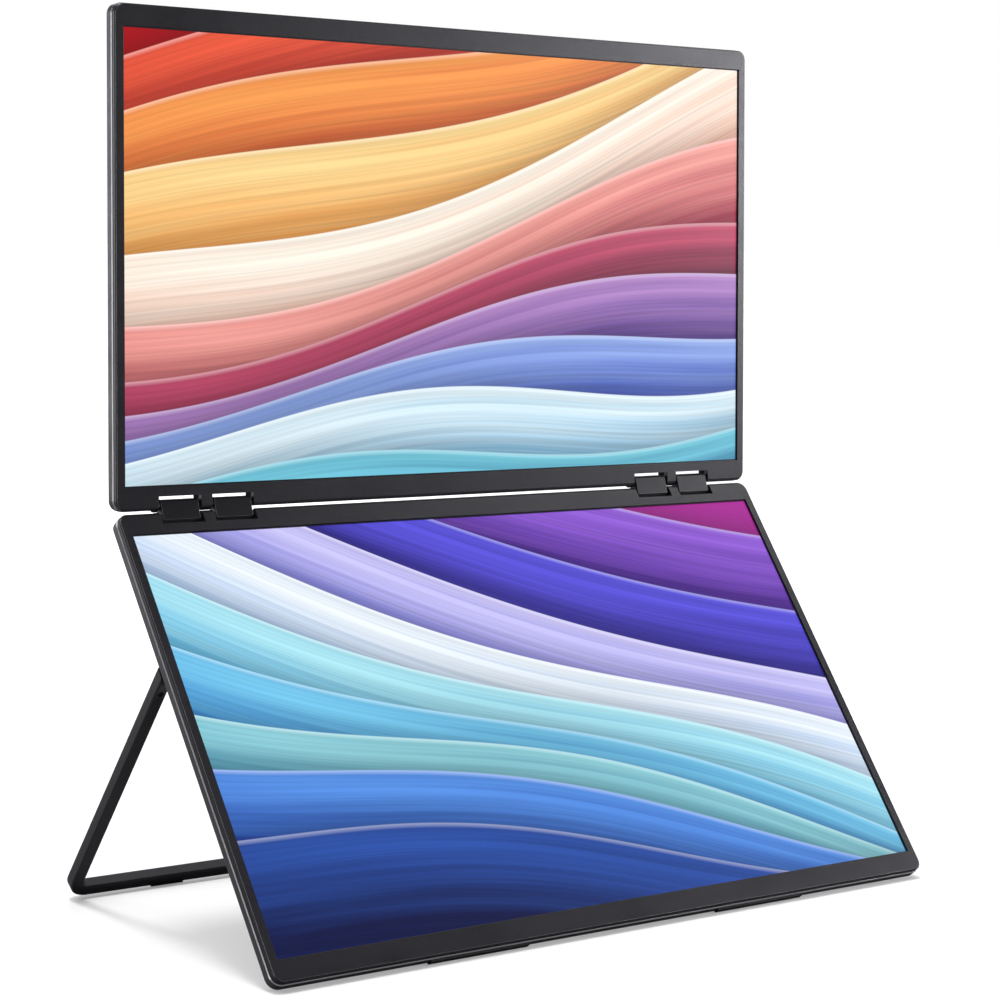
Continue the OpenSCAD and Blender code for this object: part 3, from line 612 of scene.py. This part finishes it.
@dataclass(frozen=True)
class PanelFrame:
    """Where a screen's glass lies: its middle, its directions and its size."""

    centre: Vector
    right: Vector
    up: Vector
    out: Vector
    width: float
    height: float
    far: Vector

    @classmethod
    def of(cls, node: str, hangs: bool = False, flat: float = 0.01 * MM) -> "PanelFrame":
        """Reads the frame off the glass of one screen.

        Args:
            node: Name of the glass.
            hangs: Whether the panel hangs from its hinge.
            flat: How far below the front face a point of it may lie.

        Returns:
            The panel's frame, with the direction away from its hinge.
        """
        points = [v.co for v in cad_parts[node].data.vertices]
        out = facing(node)
        right = Vector((1, 0, 0))
        up = out.cross(right)
        level = max(out.dot(p) for p in points)
        face = [p for p in points if level - out.dot(p) < flat]
        spans = [[axis.dot(p) for p in face] for axis in (right, up)]
        middle = [(min(s) + max(s)) / 2 for s in spans]
        centre = right * middle[0] + up * middle[1] + out * level
        width, height = (max(s) - min(s) for s in spans)
        return cls(centre, right, up, out, width, height, -up if hangs else up)

    def turn(self) -> Matrix:
        """Gives the turn from the panel's own axes to the frame's."""
        return Matrix((self.right, self.up, self.out)).transposed().to_4x4()

    def matrix(self) -> Matrix:
        """Gives the move from the panel's own axes to its place on the glass."""
        return Matrix.Translation(self.centre) @ self.turn()


@dataclass(frozen=True)
class LitPicture:
    """A lit screen that shows layered ribbons behind matt glass."""

    name: str
    base: Colour
    ribbons: tuple[Ribbon, ...]
    lap: float = 1.5 * MM
    border: float = 0.5 * MM
    glow: float = 1.0
    glass: Colour = (0.003, 0.003, 0.004)
    glass_rough: float = 0.38
    glass_gloss: float = 0.12

    def build(self, effects: Effects, panel: PanelFrame) -> Material:
        """Makes the material for one screen.

        Args:
            effects: The shared node groups.
            panel: Where the screen lies.

        Returns:
            The material.
        """
        material, draw, surface = new_material(self.name)
        offset = draw.put("VectorMath", {0: draw.place(), 1: panel.centre}, operation="SUBTRACT")
        shares, inside = [], []
        for axis, length in ((panel.right, panel.width), (panel.up, panel.height)):
            along = draw.dot(offset.outputs[0], axis)
            shown = length - 2 * self.lap
            shares.append(draw.plus(draw.maths("DIVIDE", along, shown), 0.5))
            reach = draw.maths("ABSOLUTE", along)
            inside.append(draw.maths("LESS_THAN", reach, shown / 2 - self.border))
        across, up = shares
        colour: object = rgba(self.base)
        for ribbon in self.ribbons:
            given = {"Base": colour, "Across": across, "Up": up, **ribbon.inputs()}
            colour = draw.group(effects.ribbon, **given).outputs["Colour"]
        lit = {
            "Base Color": rgba(self.glass),
            "Roughness": self.glass_rough,
            "Specular IOR Level": self.glass_gloss,
            "Emission Color": draw.blend(draw.times(*inside), BLACK, colour),
            "Emission Strength": self.glow,
        }
        draw.feed(surface, lit)
        return material


WARM_PICTURE = LitPicture(
    "warm_ribbons",
    shade(178, 22, 30),
    (
        # Edge, slope, swell, waves, phase, colour at the edge, colour below, depth
        Ribbon(0.92, 0.42, 0.05, 4.0, 0.3, (238, 92, 64), (170, 24, 40), 0.30),
        Ribbon(0.76, 0.50, 0.06, 4.6, 1.2, (250, 160, 84), (214, 70, 44), 0.26),
        Ribbon(0.62, 0.52, 0.07, 4.2, 2.0, (254, 220, 150), (240, 150, 60), 0.24),
        Ribbon(0.47, 0.52, 0.08, 4.4, 2.7, (255, 246, 232), (248, 178, 150), 0.30),
        Ribbon(0.36, 0.40, 0.07, 4.8, 3.3, (250, 168, 158), (176, 50, 80), 0.20),
        Ribbon(0.27, 0.32, 0.06, 5.2, 3.9, (202, 80, 112), (104, 26, 66), 0.16),
        Ribbon(0.21, 0.26, 0.06, 5.0, 4.3, (186, 140, 206), (92, 60, 150), 0.16),
        Ribbon(0.15, 0.20, 0.05, 5.4, 4.9, (150, 178, 240), (60, 84, 190), 0.16),
        Ribbon(0.09, 0.14, 0.05, 5.8, 5.4, (226, 244, 252), (112, 186, 226), 0.20),
        Ribbon(-0.02, 0.12, 0.04, 6.2, 6.0, (120, 206, 226), (34, 104, 150), 0.14),
    ),
)

COOL_PICTURE = LitPicture(
    "cool_ribbons",
    shade(170, 34, 150),
    (
        # Edge, slope, swell, waves, phase, colour at the edge, colour below, depth
        Ribbon(1.36, -0.42, 0.05, 4.0, 1.0, (150, 96, 220), (78, 34, 150), 0.24),
        Ribbon(1.30, -0.62, 0.05, 4.4, 1.7, (92, 84, 226), (40, 30, 130), 0.22),
        Ribbon(1.20, -0.74, 0.06, 4.2, 2.4, (206, 200, 250), (120, 124, 224), 0.22),
        Ribbon(1.08, -0.80, 0.07, 4.6, 3.0, (240, 248, 255), (158, 196, 244), 0.26),
        Ribbon(0.94, -0.80, 0.07, 4.8, 3.6, (176, 234, 246), (70, 176, 226), 0.24),
        Ribbon(0.78, -0.74, 0.06, 5.0, 4.2, (122, 206, 244), (30, 120, 200), 0.22),
        Ribbon(0.62, -0.60, 0.06, 5.2, 4.8, (150, 216, 226), (44, 130, 168), 0.18),
        Ribbon(0.47, -0.46, 0.05, 5.4, 5.4, (90, 150, 236), (26, 62, 160), 0.18),
        Ribbon(0.28, -0.30, 0.05, 5.6, 6.0, (44, 82, 170), (14, 22, 70), 0.22),
    ),
)


class Bench:
    """Modelling moves that work on one object at a time."""

    @staticmethod
    def clear() -> None:
        """Leaves nothing selected."""
        bpy.ops.object.select_all(action="DESELECT")

    @classmethod
    def take(cls, piece: Piece) -> None:
        """Selects one piece and makes it active.

        Args:
            piece: The piece.
        """
        cls.clear()
        piece.select_set(True)
        bpy.context.view_layer.objects.active = piece

    @staticmethod
    def named(name: str) -> Piece:
        """Names the piece that was just made.

        Args:
            name: Its name.

        Returns:
            The piece.
        """
        piece = bpy.context.object
        piece.name = piece.data.name = name
        return piece

    @classmethod
    def start(cls, name: str, primitive: Callable[..., object], **settings) -> Piece:
        """Adds a primitive to start a piece from.

        Args:
            name: Name of the piece.
            primitive: Blender's operator for it.
            **settings: Its size and place.

        Returns:
            The piece.
        """
        cls.clear()
        primitive(**settings)
        return cls.named(name)

    @staticmethod
    def stretch(piece: Piece, *lengths: float) -> None:
        """Gives a new unit primitive its lengths."""
        piece.scale = lengths
        bpy.ops.object.transform_apply(location=True, rotation=True, scale=True)

    @staticmethod
    def paint(piece: Piece, material: Material) -> None:
        """Leaves a new piece with one material."""
        piece.data.materials.clear()
        piece.data.materials.append(material)

    @staticmethod
    def pick(piece: Piece, wanted: Callable[[bmesh.types.BMFace], bool]) -> None:
        """Selects the faces that pass a test, in edit mode.

        Args:
            piece: The piece being edited.
            wanted: Says of a face whether it is selected.
        """
        bpy.ops.mesh.select_mode(type="FACE")
        bpy.ops.mesh.select_all(action="DESELECT")
        cage = bmesh.from_edit_mesh(piece.data)
        cage.faces.ensure_lookup_table()
        for face in cage.faces:
            face.select_set(wanted(face))
        bmesh.update_edit_mesh(piece.data)

    @classmethod
    def modify(cls, piece: Piece, kind: str, **settings) -> None:
        """Adds a modifier to a piece and applies it.

        Args:
            piece: The piece.
            kind: Type of the modifier.
            **settings: Its properties.
        """
        cls.take(piece)
        modifier = piece.modifiers.new(kind.lower(), kind)
        for name, value in settings.items():
            setattr(modifier, name, value)
        bpy.ops.object.modifier_apply(modifier=modifier.name)

    @classmethod
    def cut(cls, piece: Piece, tool: Piece) -> None:
        """Cuts the tool's shape out of a piece and throws the tool away."""
        cls.modify(piece, "BOOLEAN", operation="DIFFERENCE", solver="EXACT", object=tool)
        bpy.data.objects.remove(tool)

    @classmethod
    def copies(cls, piece: Piece, places: Iterable[Matrix]) -> list[Piece]:
        """Copies a piece to each place, each copy with its own mesh, and drops the first.

        Args:
            piece: Piece modelled at the origin.
            places: Where the copies go.

        Returns:
            The copies.
        """
        made = []
        for place in places:
            cls.take(piece)
            bpy.ops.object.duplicate(linked=False)
            twin = bpy.context.object
            twin.data.transform(place)
            made.append(twin)
        bpy.data.objects.remove(piece)
        return made

    @classmethod
    def join(cls, pieces: Sequence[Piece], name: str) -> Piece:
        """Joins pieces into one.

        Args:
            pieces: The pieces.
            name: Name of the joined piece.

        Returns:
            The joined piece.
        """
        cls.clear()
        for piece in pieces:
            piece.select_set(True)
        bpy.context.view_layer.objects.active = pieces[0]
        bpy.ops.object.join()
        return cls.named(name)

    @classmethod
    def settle(cls, piece: Piece, angle: float = 35.0) -> Piece:
        """Applies a piece's place to its mesh and smooths its round faces.

        Args:
            piece: The piece.
            angle: Edges sharper than this stay crisp, in degrees.

        Returns:
            The same piece.
        """
        cls.take(piece)
        bpy.ops.object.transform_apply(location=True, rotation=True, scale=True)
        bpy.ops.object.shade_smooth_by_angle(angle=math.radians(angle))
        return piece


def loose_parts(node: str, weld: float = 0.001 * MM) -> list[tuple[Vector, Vector]]:
    """Finds the separate solids of a CAD node.

    Args:
        node: Name of the node.
        weld: Points closer than this are one.

    Returns:
        The lowest and highest corner of each solid.
    """
    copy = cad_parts[node].copy()
    copy.data = copy.data.copy()
    copy.parent = None
    bpy.context.scene.collection.objects.link(copy)
    Bench.take(copy)
    bpy.ops.object.mode_set(mode="EDIT")
    bpy.ops.mesh.select_all(action="SELECT")
    bpy.ops.mesh.remove_doubles(threshold=weld)
    bpy.ops.mesh.separate(type="LOOSE")
    bpy.ops.object.mode_set(mode="OBJECT")
    found = []
    for part in list(bpy.context.selected_objects):
        points = [v.co for v in part.data.vertices]
        low = Vector(min(p[i] for p in points) for i in range(3))
        high = Vector(max(p[i] for p in points) for i in range(3))
        found.append((low, high))
        bpy.data.objects.remove(part)
    return sorted(found, key=lambda box: (box[0].x, box[0].z))


def facing(node: str, lean: float = 0.1) -> Vector:
    """Finds which way the widest face of a CAD node looks, of those that look forward.

    Args:
        node: Name of the node.
        lean: How far to a side such a face may look.

    Returns:
        The face's normal.
    """
    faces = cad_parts[node].data.polygons
    forward = [face for face in faces if face.normal.y < 0 and abs(face.normal.x) < lean]
    return max(forward, key=lambda face: face.area).normal.copy()


def wear(nodes: Iterable[str], material: Material) -> None:
    """Gives CAD nodes a material.

    Args:
        nodes: Names of the nodes.
        material: What they wear.
    """
    for name in nodes:
        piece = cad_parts[name]
        if not piece.material_slots:
            piece.data.materials.append(material)
        for slot in piece.material_slots:
            slot.material = material


class Look(Enum):
    """The finishes that the object's pieces wear, apart from casings and pictures."""

    STAND = Finish(
        "blasted_stand", (0.026, 0.025, 0.028), 0.42, 0.25, grain=0.35 * MM, edge=0.25 * MM
    )
    KNUCKLE = Finish(
        "moulded_knuckle", (0.006, 0.0057, 0.0075), 0.6, specular=0.2, grain=0.5 * MM, contrast=0.3
    )
    # The blocks get a painted highlight along their sharp edges.
    BLOCK = Finish(
        "painted_block", (0.0085, 0.008, 0.011), 0.33, specular=0.35, handling=0.12, rub=1.0,
        rub_width=0.4 * MM,
    )
    GILT = Finish("gilt_contact", (0.75, 0.5, 0.16), 0.22, 1.0, grain=0.1 * MM, bump=0.002 * MM)
    STEEL = Finish("ground_steel", (0.36, 0.36, 0.37), 0.3, 1.0, grain=0.15 * MM, bump=0.01 * MM)
    LEAF = Finish("oiled_leaf", (0.125, 0.118, 0.115), 0.42, 0.25, contrast=0.2)
    DARK_STEEL = Finish("blackened_steel", (0.03, 0.03, 0.032), 0.34, 0.8, grain=0.2 * MM)
    SOCKET = Finish("plated_socket", (0.55, 0.55, 0.54), 0.24, 1.0, grain=0.2 * MM, bump=0.005 * MM)
    RUBBER = Finish("foot_rubber", (0.008, 0.008, 0.008), 0.75, grain=0.4 * MM, bump=0.05 * MM)
    BOARD = Finish("solder_mask", (0.01, 0.09, 0.035), 0.32, grain=1.2 * MM, contrast=0.2, coat=0.4)
    BLACK = Finish("moulded_black", (0.01, 0.01, 0.01))
    SWITCH = Finish("switch_white", (0.6, 0.6, 0.58), 0.45)
    GUIDE = Finish("light_guide", (0.7, 0.7, 0.69), 0.35, coat=0.3)
    BUTTON = Finish("button_charcoal", (0.02, 0.02, 0.022), 0.4, grain=0.25 * MM)
    FOAM = Finish("pad_foam", (0.015, 0.015, 0.015), 0.9, grain=0.6 * MM, bump=0.1 * MM)


@dataclass
class Wardrobe:
    """Every finish of the object, made once."""

    effects: Effects = field(default_factory=Effects)
    top_bevel: float = 0.35

    def __post_init__(self) -> None:
        """Builds the finishes."""
        front = facing("hinge_block_1")
        bare = {Look.BLOCK: BareBevels(front, front)}
        self.made = {look: look.value.build(self.effects, bare.get(look)) for look in Look}

    def casing(self, side: str, panel: PanelFrame) -> tuple[Material, Material]:
        """Makes the two finishes of one panel's casing, which have uncoated metal front bevels.

        Args:
            side: Name of the panel.
            panel: Where it lies.

        Returns:
            The front frame's finish and the rear cover's.
        """
        bezel = Finish(
            side + "_moulded_charcoal", (0.0062, 0.0058, 0.0086), 0.36, grain=0.55 * MM,
            contrast=0.4, bump=0.05 * MM, handling=0.2, gloss_grain=0.16, bare=(0.4, 0.4, 0.42),
            lip=1.0,
        )
        # The rear cover's side walls within 160 mm of the middle get painted shade.
        cover = Finish(
            side + "_blasted_cover", (0.062, 0.061, 0.066), 0.42, 0.35, grain=0.6 * MM,
            contrast=0.3, bump=0.05 * MM, handling=0.5, edge=0.2 * MM, gloss_grain=0.15,
            bare=(0.5, 0.5, 0.52), bare_rough=0.3, recess=160 * MM,
        )
        cap = self.top_bevel if panel.far.z > 0 else BareBevels.cap
        bevels = BareBevels(panel.out, panel.far, cap)
        return bezel.build(self.effects, bevels), cover.build(self.effects, bevels)

    def __getitem__(self, look: Look) -> Material:
        """Gives the material of a finish."""
        return self.made[look]


@dataclass
class Screws:
    """Screws with a cross recess that stand for a CAD node's plain ones.

    The shares are of the head's radius.
    """

    node: str
    body: Body
    out: Vector
    slot: Slot = Slot.DARK_STEEL
    sides: int = 32
    head_share: float = 0.6
    shank_step: float = 0.5
    round_share: float = 0.12
    round_drop: float = 0.5
    level: float = 0.9
    recess_share: float = 0.62
    blade_share: float = 0.17
    blade_depth: float = 0.7

    def build(self) -> Piece:
        """Models one screw, copies it to every place and joins the copies.

        Returns:
            The joined screws.
        """
        boxes = loose_parts(self.node)
        low, high = boxes[0]
        radius = (high.x - low.x) / 2
        length = self._length(low, high, radius)
        head = radius * self.head_share
        place = {"vertices": self.sides, "location": (0, 0, -head / 2)}
        start = bpy.ops.mesh.primitive_cylinder_add
        screw = Bench.start(self.node + "_turned", start, radius=radius, depth=head, **place)
        bpy.ops.object.transform_apply(location=True)
        bpy.ops.object.mode_set(mode="EDIT")
        Bench.pick(screw, lambda face: face.normal.z > self.level)
        rounding = radius * self.round_share
        bpy.ops.mesh.inset(thickness=rounding, depth=rounding * self.round_drop)
        Bench.pick(screw, lambda face: face.normal.z < -self.level)
        bpy.ops.mesh.inset(thickness=radius * self.shank_step)
        bpy.ops.mesh.extrude_region_move(TRANSFORM_OT_translate={"value": (0, 0, head - length)})
        bpy.ops.object.mode_set(mode="OBJECT")
        self._recess(screw, radius)
        report = "%s: %d screws, %.1f mm wide, %.1f mm long"
        log.info(report, self.node, len(boxes), 2 * radius / MM, length / MM)
        turn = self.out.to_track_quat("Z", "X").to_matrix().to_4x4()
        tops = [Matrix.Translation(self._top(box, radius)) @ turn for box in boxes]
        piece = Bench.join(Bench.copies(screw, tops), self.node + "_detail")
        return Bench.settle(piece)

    def _length(self, low: Vector, high: Vector, radius: float) -> float:
        """Works out a tilted screw's length from its box.

        Args:
            low: Lowest corner.
            high: Highest corner.
            radius: Radius of its head.

        Returns:
            The length along its axis.
        """
        across, along = abs(self.out.z), abs(self.out.y)
        if along > across:
            return (high.y - low.y - 2 * radius * across) / along
        return (high.z - low.z) / across

    def _top(self, box: tuple[Vector, Vector], radius: float) -> Vector:
        """Finds the middle of a screw's head, on its outer face.

        Args:
            box: The screw's corners.
            radius: Radius of its head.

        Returns:
            The point.
        """
        low, high = box
        top = (low + high) / 2
        for axis, other in ((1, 2), (2, 1)):
            reach = radius * abs(self.out[other])
            top[axis] = low[axis] + reach if self.out[axis] < 0 else high[axis] - reach
        return top

    def _recess(self, screw: Piece, radius: float) -> None:
        """Cuts the cross recess into a screw's head.

        Args:
            screw: The screw, with its head's face at the origin.
            radius: Radius of the head.
        """
        length, width = 2 * radius * self.recess_share, 2 * radius * self.blade_share
        for angle in (0.0, math.pi / 2):
            start = bpy.ops.mesh.primitive_cube_add
            blade = Bench.start("recess_blade", start, size=1, rotation=(0, 0, angle))
            Bench.stretch(blade, length, width, radius * self.blade_depth)
            Bench.cut(screw, blade)

    def dress(self, material: Material) -> None:
        """Builds the screws and puts them in place of the plain ones.

        Args:
            material: What they wear.
        """
        piece = self.build()
        Bench.paint(piece, material)
        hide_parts(self.node)
        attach(piece, self.body.value)


@dataclass
class Contacts:
    """Gilt strips on both faces of the tongues inside a row of sockets."""

    node: str
    panel: PanelFrame
    count: int
    pitch: float
    width: float = 0.25 * MM
    length: float = 3.2 * MM
    height: float = 0.06 * MM
    tongue: float = 0.6 * MM
    recess: float = 1.0 * MM
    sink: float = 0.02 * MM

    def dress(self, material: Material) -> None:
        """Models one strip, copies it along both faces of each tongue and joins the copies.

        Args:
            material: What the strips wear.
        """
        strip = Bench.start(self.node + "_strip", bpy.ops.mesh.primitive_cube_add, size=1)
        Bench.stretch(strip, self.length, self.width, self.height)
        Bench.modify(strip, "BEVEL", width=self.height / 4, segments=2)
        deep = -self.recess - self.length / 2
        lift = (self.tongue + self.height) / 2 - self.sink
        places = []
        for low, high in loose_parts(self.node):
            mouth = Vector((high.x, (low.y + high.y) / 2, (low.z + high.z) / 2))
            socket = Matrix.Translation(mouth) @ self.panel.turn()
            for face in (-1, 1):
                for i in range(self.count):
                    along = (i - (self.count - 1) / 2) * self.pitch
                    places.append(socket @ Matrix.Translation((deep, along, face * lift)))
        piece = Bench.settle(Bench.join(Bench.copies(strip, places), self.node + "_contacts"))
        Bench.paint(piece, material)
        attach(piece, Body.LOWER.value)
        log.info("%s: %d contact strips", self.node, len(places))


@dataclass
class Gasket:
    """The thin dark foam line around a picture, on the glass inside the front frame."""

    name: str
    panel: PanelFrame
    body: Body
    lap: float = 1.5 * MM
    width: float = 0.4 * MM
    height: float = 0.3 * MM
    bevel: float = 0.08 * MM

    def dress(self, material: Material) -> None:
        """Models the gasket as a plate that is inset, opened and raised.

        Args:
            material: What it wears.
        """
        piece = Bench.start(self.name, bpy.ops.mesh.primitive_plane_add, size=1)
        sides = (length - 2 * self.lap for length in (self.panel.width, self.panel.height))
        Bench.stretch(piece, *sides, 1)
        bpy.ops.object.mode_set(mode="EDIT")
        bpy.ops.mesh.select_all(action="SELECT")
        bpy.ops.mesh.inset(thickness=self.width)
        bpy.ops.mesh.delete(type="FACE")
        bpy.ops.mesh.select_all(action="SELECT")
        bpy.ops.mesh.extrude_region_move(TRANSFORM_OT_translate={"value": (0, 0, self.height)})
        bpy.ops.mesh.select_all(action="SELECT")
        bpy.ops.mesh.normals_make_consistent(inside=False)
        bpy.ops.object.mode_set(mode="OBJECT")
        Bench.modify(piece, "BEVEL", width=self.bevel, segments=2, limit_method="ANGLE")
        piece.data.transform(self.panel.matrix())
        Bench.paint(Bench.settle(piece), material)
        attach(piece, self.body.value)


def hang(name: str, kind: str, strength: float) -> Piece:
    """Adds a light at the origin.

    Args:
        name: Name of the light.
        kind: Type of the light.
        strength: Its strength.

    Returns:
        The light.
    """
    data = bpy.data.lights.new(name, kind)
    data.energy = strength
    light = bpy.data.objects.new(name, data)
    bpy.context.scene.collection.objects.link(light)
    return light


@dataclass(frozen=True)
class Sun:
    """A broad even light from above, with its tilt and its breadth in degrees."""

    name: str
    tilt: Place
    strength: float
    breadth: float

    def build(self) -> None:
        """Adds the light."""
        light = hang(self.name, "SUN", self.strength)
        light.data.angle = math.radians(self.breadth)
        light.rotation_euler = [math.radians(angle) for angle in self.tilt]


@dataclass(frozen=True)
class SoftBox:
    """A rectangular light that points at the object, in metres and watts."""

    name: str
    place: Place
    aim: Place
    width: float
    height: float
    power: float

    def build(self) -> None:
        """Adds the light."""
        light = hang(self.name, "AREA", self.power)
        light.data.shape = "RECTANGLE"
        light.data.size, light.data.size_y = self.width, self.height
        light.location = self.place
        way = Vector(self.aim) - Vector(self.place)
        light.rotation_euler = way.to_track_quat("-Z", "Y").to_euler()


@dataclass
class Studio:
    """The floor, the soft lights and the camera at the photograph's angle.

    Floor and surround have one tone that is seen and one that lights the object. The
    floor's glow grows to white between two distances from the object.
    """

    camera_place: Place = (-0.712388, -0.936168, 0.296465)
    camera_turn: Place = (86.2151, -1.3251, -36.8206)
    focal_px: float = 2649.98
    picture_px: float = 1000.0
    middle_row_px: float = 402.47
    sensor: float = 36.0
    clip: Range = (0.05, 100.0)
    floor_side: float = 60.0
    floor_tone: Colour = (0.62, 0.62, 0.625)
    floor_unseen: Colour = (0.22, 0.22, 0.225)
    floor_rough: float = 0.8
    floor_gloss: float = 0.1
    glow_reach: Range = (0.5, 2.0)
    glow: Range = (0.25, 0.48)
    surround_unseen: Colour = (0.10, 0.10, 0.105)
    lights: tuple[Sun | SoftBox, ...] = (
        Sun("overhead", (-8, -14, 0), 1.6, 60),
        Sun("key", (-9, -3, 0), 1.5, 12),
        SoftBox("right_front", (1.32, -0.77, 0.475), (0.05, 0.0, 0.3), 0.7, 0.37, 14.0),
        SoftBox("top_strip", (0.72, 0.05, 1.08), (0.0, 0.0, 0.2), 0.8, 0.25, 1.2),
        SoftBox("top_right", (1.05, -0.1, 1.0), (0.05, 0.0, 0.15), 0.3, 0.3, 1.6),
        SoftBox("rear_fill", (0.7, 1.4, 0.9), (0.0, 0.0, 0.2), 1.0, 1.0, 14.0),
        SoftBox("left_strip", (-1.25, -0.6, 0.4), (-0.1, 0.0, 0.2), 0.3, 1.0, 2.5),
        SoftBox("left_rim", (-0.9, 1.3, 0.41), (-0.1, 0.0, 0.2), 0.8, 0.8, 4.5),
    )

    def build(self) -> None:
        """Sets everything up."""
        self._camera()
        self._floor()
        self._world()
        for light in self.lights:
            light.build()

    def _camera(self) -> None:
        """Places the camera."""
        data = bpy.data.cameras.new("camera")
        camera = bpy.data.objects.new("camera", data)
        bpy.context.scene.collection.objects.link(camera)
        camera.location = self.camera_place
        camera.rotation_euler = [math.radians(a) for a in self.camera_turn]
        data.sensor_width = self.sensor
        data.lens = self.focal_px / self.picture_px * self.sensor
        data.shift_y = (self.middle_row_px - self.picture_px / 2) / self.picture_px
        data.clip_start, data.clip_end = self.clip
        bpy.context.scene.camera = camera

    def _floor(self) -> None:
        """Lays the floor."""
        floor = Bench.start("floor", bpy.ops.mesh.primitive_plane_add, size=self.floor_side)
        material, draw, surface = new_material("pale_floor")
        seen = draw.put("LightPath").outputs["Is Camera Ray"]
        tone = draw.blend(seen, rgba(self.floor_unseen), rgba(self.floor_tone))
        reach = draw.put("VectorMath", {0: draw.place()}, operation="LENGTH").outputs["Value"]
        glow = draw.times(seen, draw.spread(reach, *self.glow_reach, *self.glow))
        lit = {
            "Base Color": tone,
            "Roughness": self.floor_rough,
            "Specular IOR Level": self.floor_gloss,
            "Emission Color": glow,
            "Emission Strength": 1.0,
        }
        draw.feed(surface, lit)
        floor.data.materials.append(material)

    def _world(self) -> None:
        """Sets a pale surround that looks white and lights softly."""
        scene = bpy.context.scene
        scene.world = bpy.data.worlds.new("surround")
        scene.world.use_nodes = True
        draw = Sketch(scene.world.node_tree)
        seen = draw.put("LightPath").outputs["Is Camera Ray"]
        tone = draw.blend(seen, rgba(self.surround_unseen), WHITE)
        draw.feed(draw.tree.nodes["Background"], {"Color": tone})
        scene.view_settings.view_transform = "Standard"
        scene.view_settings.look = "None"


@dataclass
class Monitor:
    """One screen with its casing, hinge brackets and screws."""

    side: str
    body: Body
    picture: LitPicture
    panel: PanelFrame = field(init=False)

    def __post_init__(self) -> None:
        """Reads the panel's place off its glass."""
        self.panel = PanelFrame.of(f"{self.side}_screen", self.body is Body.LOWER)

    def dress(self, finishes: Wardrobe) -> None:
        """Gives the casing, the screen and the fixings their finishes.

        Args:
            finishes: Every finish of the object.
        """
        name, dark = self.side, finishes[Look.DARK_STEEL]
        bezel, cover = finishes.casing(name, self.panel)
        wear([f"{name}_bezel"], bezel)
        wear([f"{name}_rear_cover"], cover)
        wear([f"{name}_screen"], self.picture.build(finishes.effects, self.panel))
        wear([f"{name}_backlight"], finishes[Look.GUIDE])
        wear([f"{name}_light_pads"], finishes[Look.FOAM])
        wear([f"{name}_hinge_brackets"], finishes[Look.KNUCKLE])
        wear([f"{name}_hinge_shafts"], finishes[Look.STEEL])
        Gasket(f"{name}_screen_gasket", self.panel, self.body).dress(finishes[Look.BLACK])
        Screws(f"{name}_cover_screws", self.body, -self.panel.out).dress(dark)
        Screws(f"{name}_hinge_screws", self.body, self.panel.out).dress(dark)
        log.info("%s monitor dressed", name)


@dataclass
class Electronics:
    """Boards, sockets and controls inside the two casings."""

    panel: PanelFrame
    oval_contacts: int = 12
    oval_pitch: float = 0.42 * MM
    cornered_contacts: int = 9
    cornered_pitch: float = 0.8 * MM

    def dress(self, finishes: Wardrobe) -> None:
        """Gives the boards and controls their finishes.

        Args:
            finishes: Every finish of the object.
        """
        wear(["main_board", "button_board", "driver_board"], finishes[Look.BOARD])
        wear(["board_chips"], finishes[Look.BLACK])
        wear(["usb_c_sockets", "mini_hdmi_socket"], finishes[Look.SOCKET])
        wear(["button_switches"], finishes[Look.SWITCH])
        wear(["power_button", "menu_button"], finishes[Look.BUTTON])
        Screws("board_screws", Body.LOWER, self.panel.out).dress(finishes[Look.STEEL])
        for socket, count, pitch in (
            ("usb_c_sockets", self.oval_contacts, self.oval_pitch),
            ("mini_hdmi_socket", self.cornered_contacts, self.cornered_pitch),
        ):
            Contacts(socket, self.panel, count, pitch).dress(finishes[Look.GILT])
        log.info("electronics dressed")


@dataclass
class Kickstand:
    """The folding wire-frame stand with its bearings and feet."""

    leaves: str = "stand_leaves"

    def dress(self, finishes: Wardrobe) -> None:
        """Gives the stand its finishes.

        Args:
            finishes: Every finish of the object.
        """
        wear(["stand_frame", "stand_brackets"], finishes[Look.STAND])
        wear(["stand_pins"], finishes[Look.STEEL])
        wear([self.leaves], finishes[Look.LEAF])
        screws = Screws("stand_screws", Body.STAND, facing(self.leaves))
        screws.dress(finishes[Look.DARK_STEEL])
        wear(["stand_feet", "front_feet"], finishes[Look.RUBBER])
        log.info("kickstand dressed")


@dataclass
class Hinges:
    """The four blocks between the screens and their washers."""

    blocks: int = 4

    def dress(self, finishes: Wardrobe) -> None:
        """Gives the hinges their finishes.

        Args:
            finishes: Every finish of the object.
        """
        wear([f"hinge_block_{i + 1}" for i in range(self.blocks)], finishes[Look.BLOCK])
        wear(["friction_washers"], finishes[Look.STEEL])
        log.info("hinges dressed")


def main() -> None:
    """Builds the studio, then dresses every sub-assembly in order."""
    logging.basicConfig(level=logging.INFO, format="%(message)s")
    Studio().build()
    finishes = Wardrobe()
    Monitor("upper", Body.UPPER, WARM_PICTURE).dress(finishes)
    lower = Monitor("lower", Body.LOWER, COOL_PICTURE)
    lower.dress(finishes)
    Electronics(lower.panel).dress(finishes)
    Kickstand().dress(finishes)
    Hinges().dress(finishes)


if __name__ == "__main__":
    main()
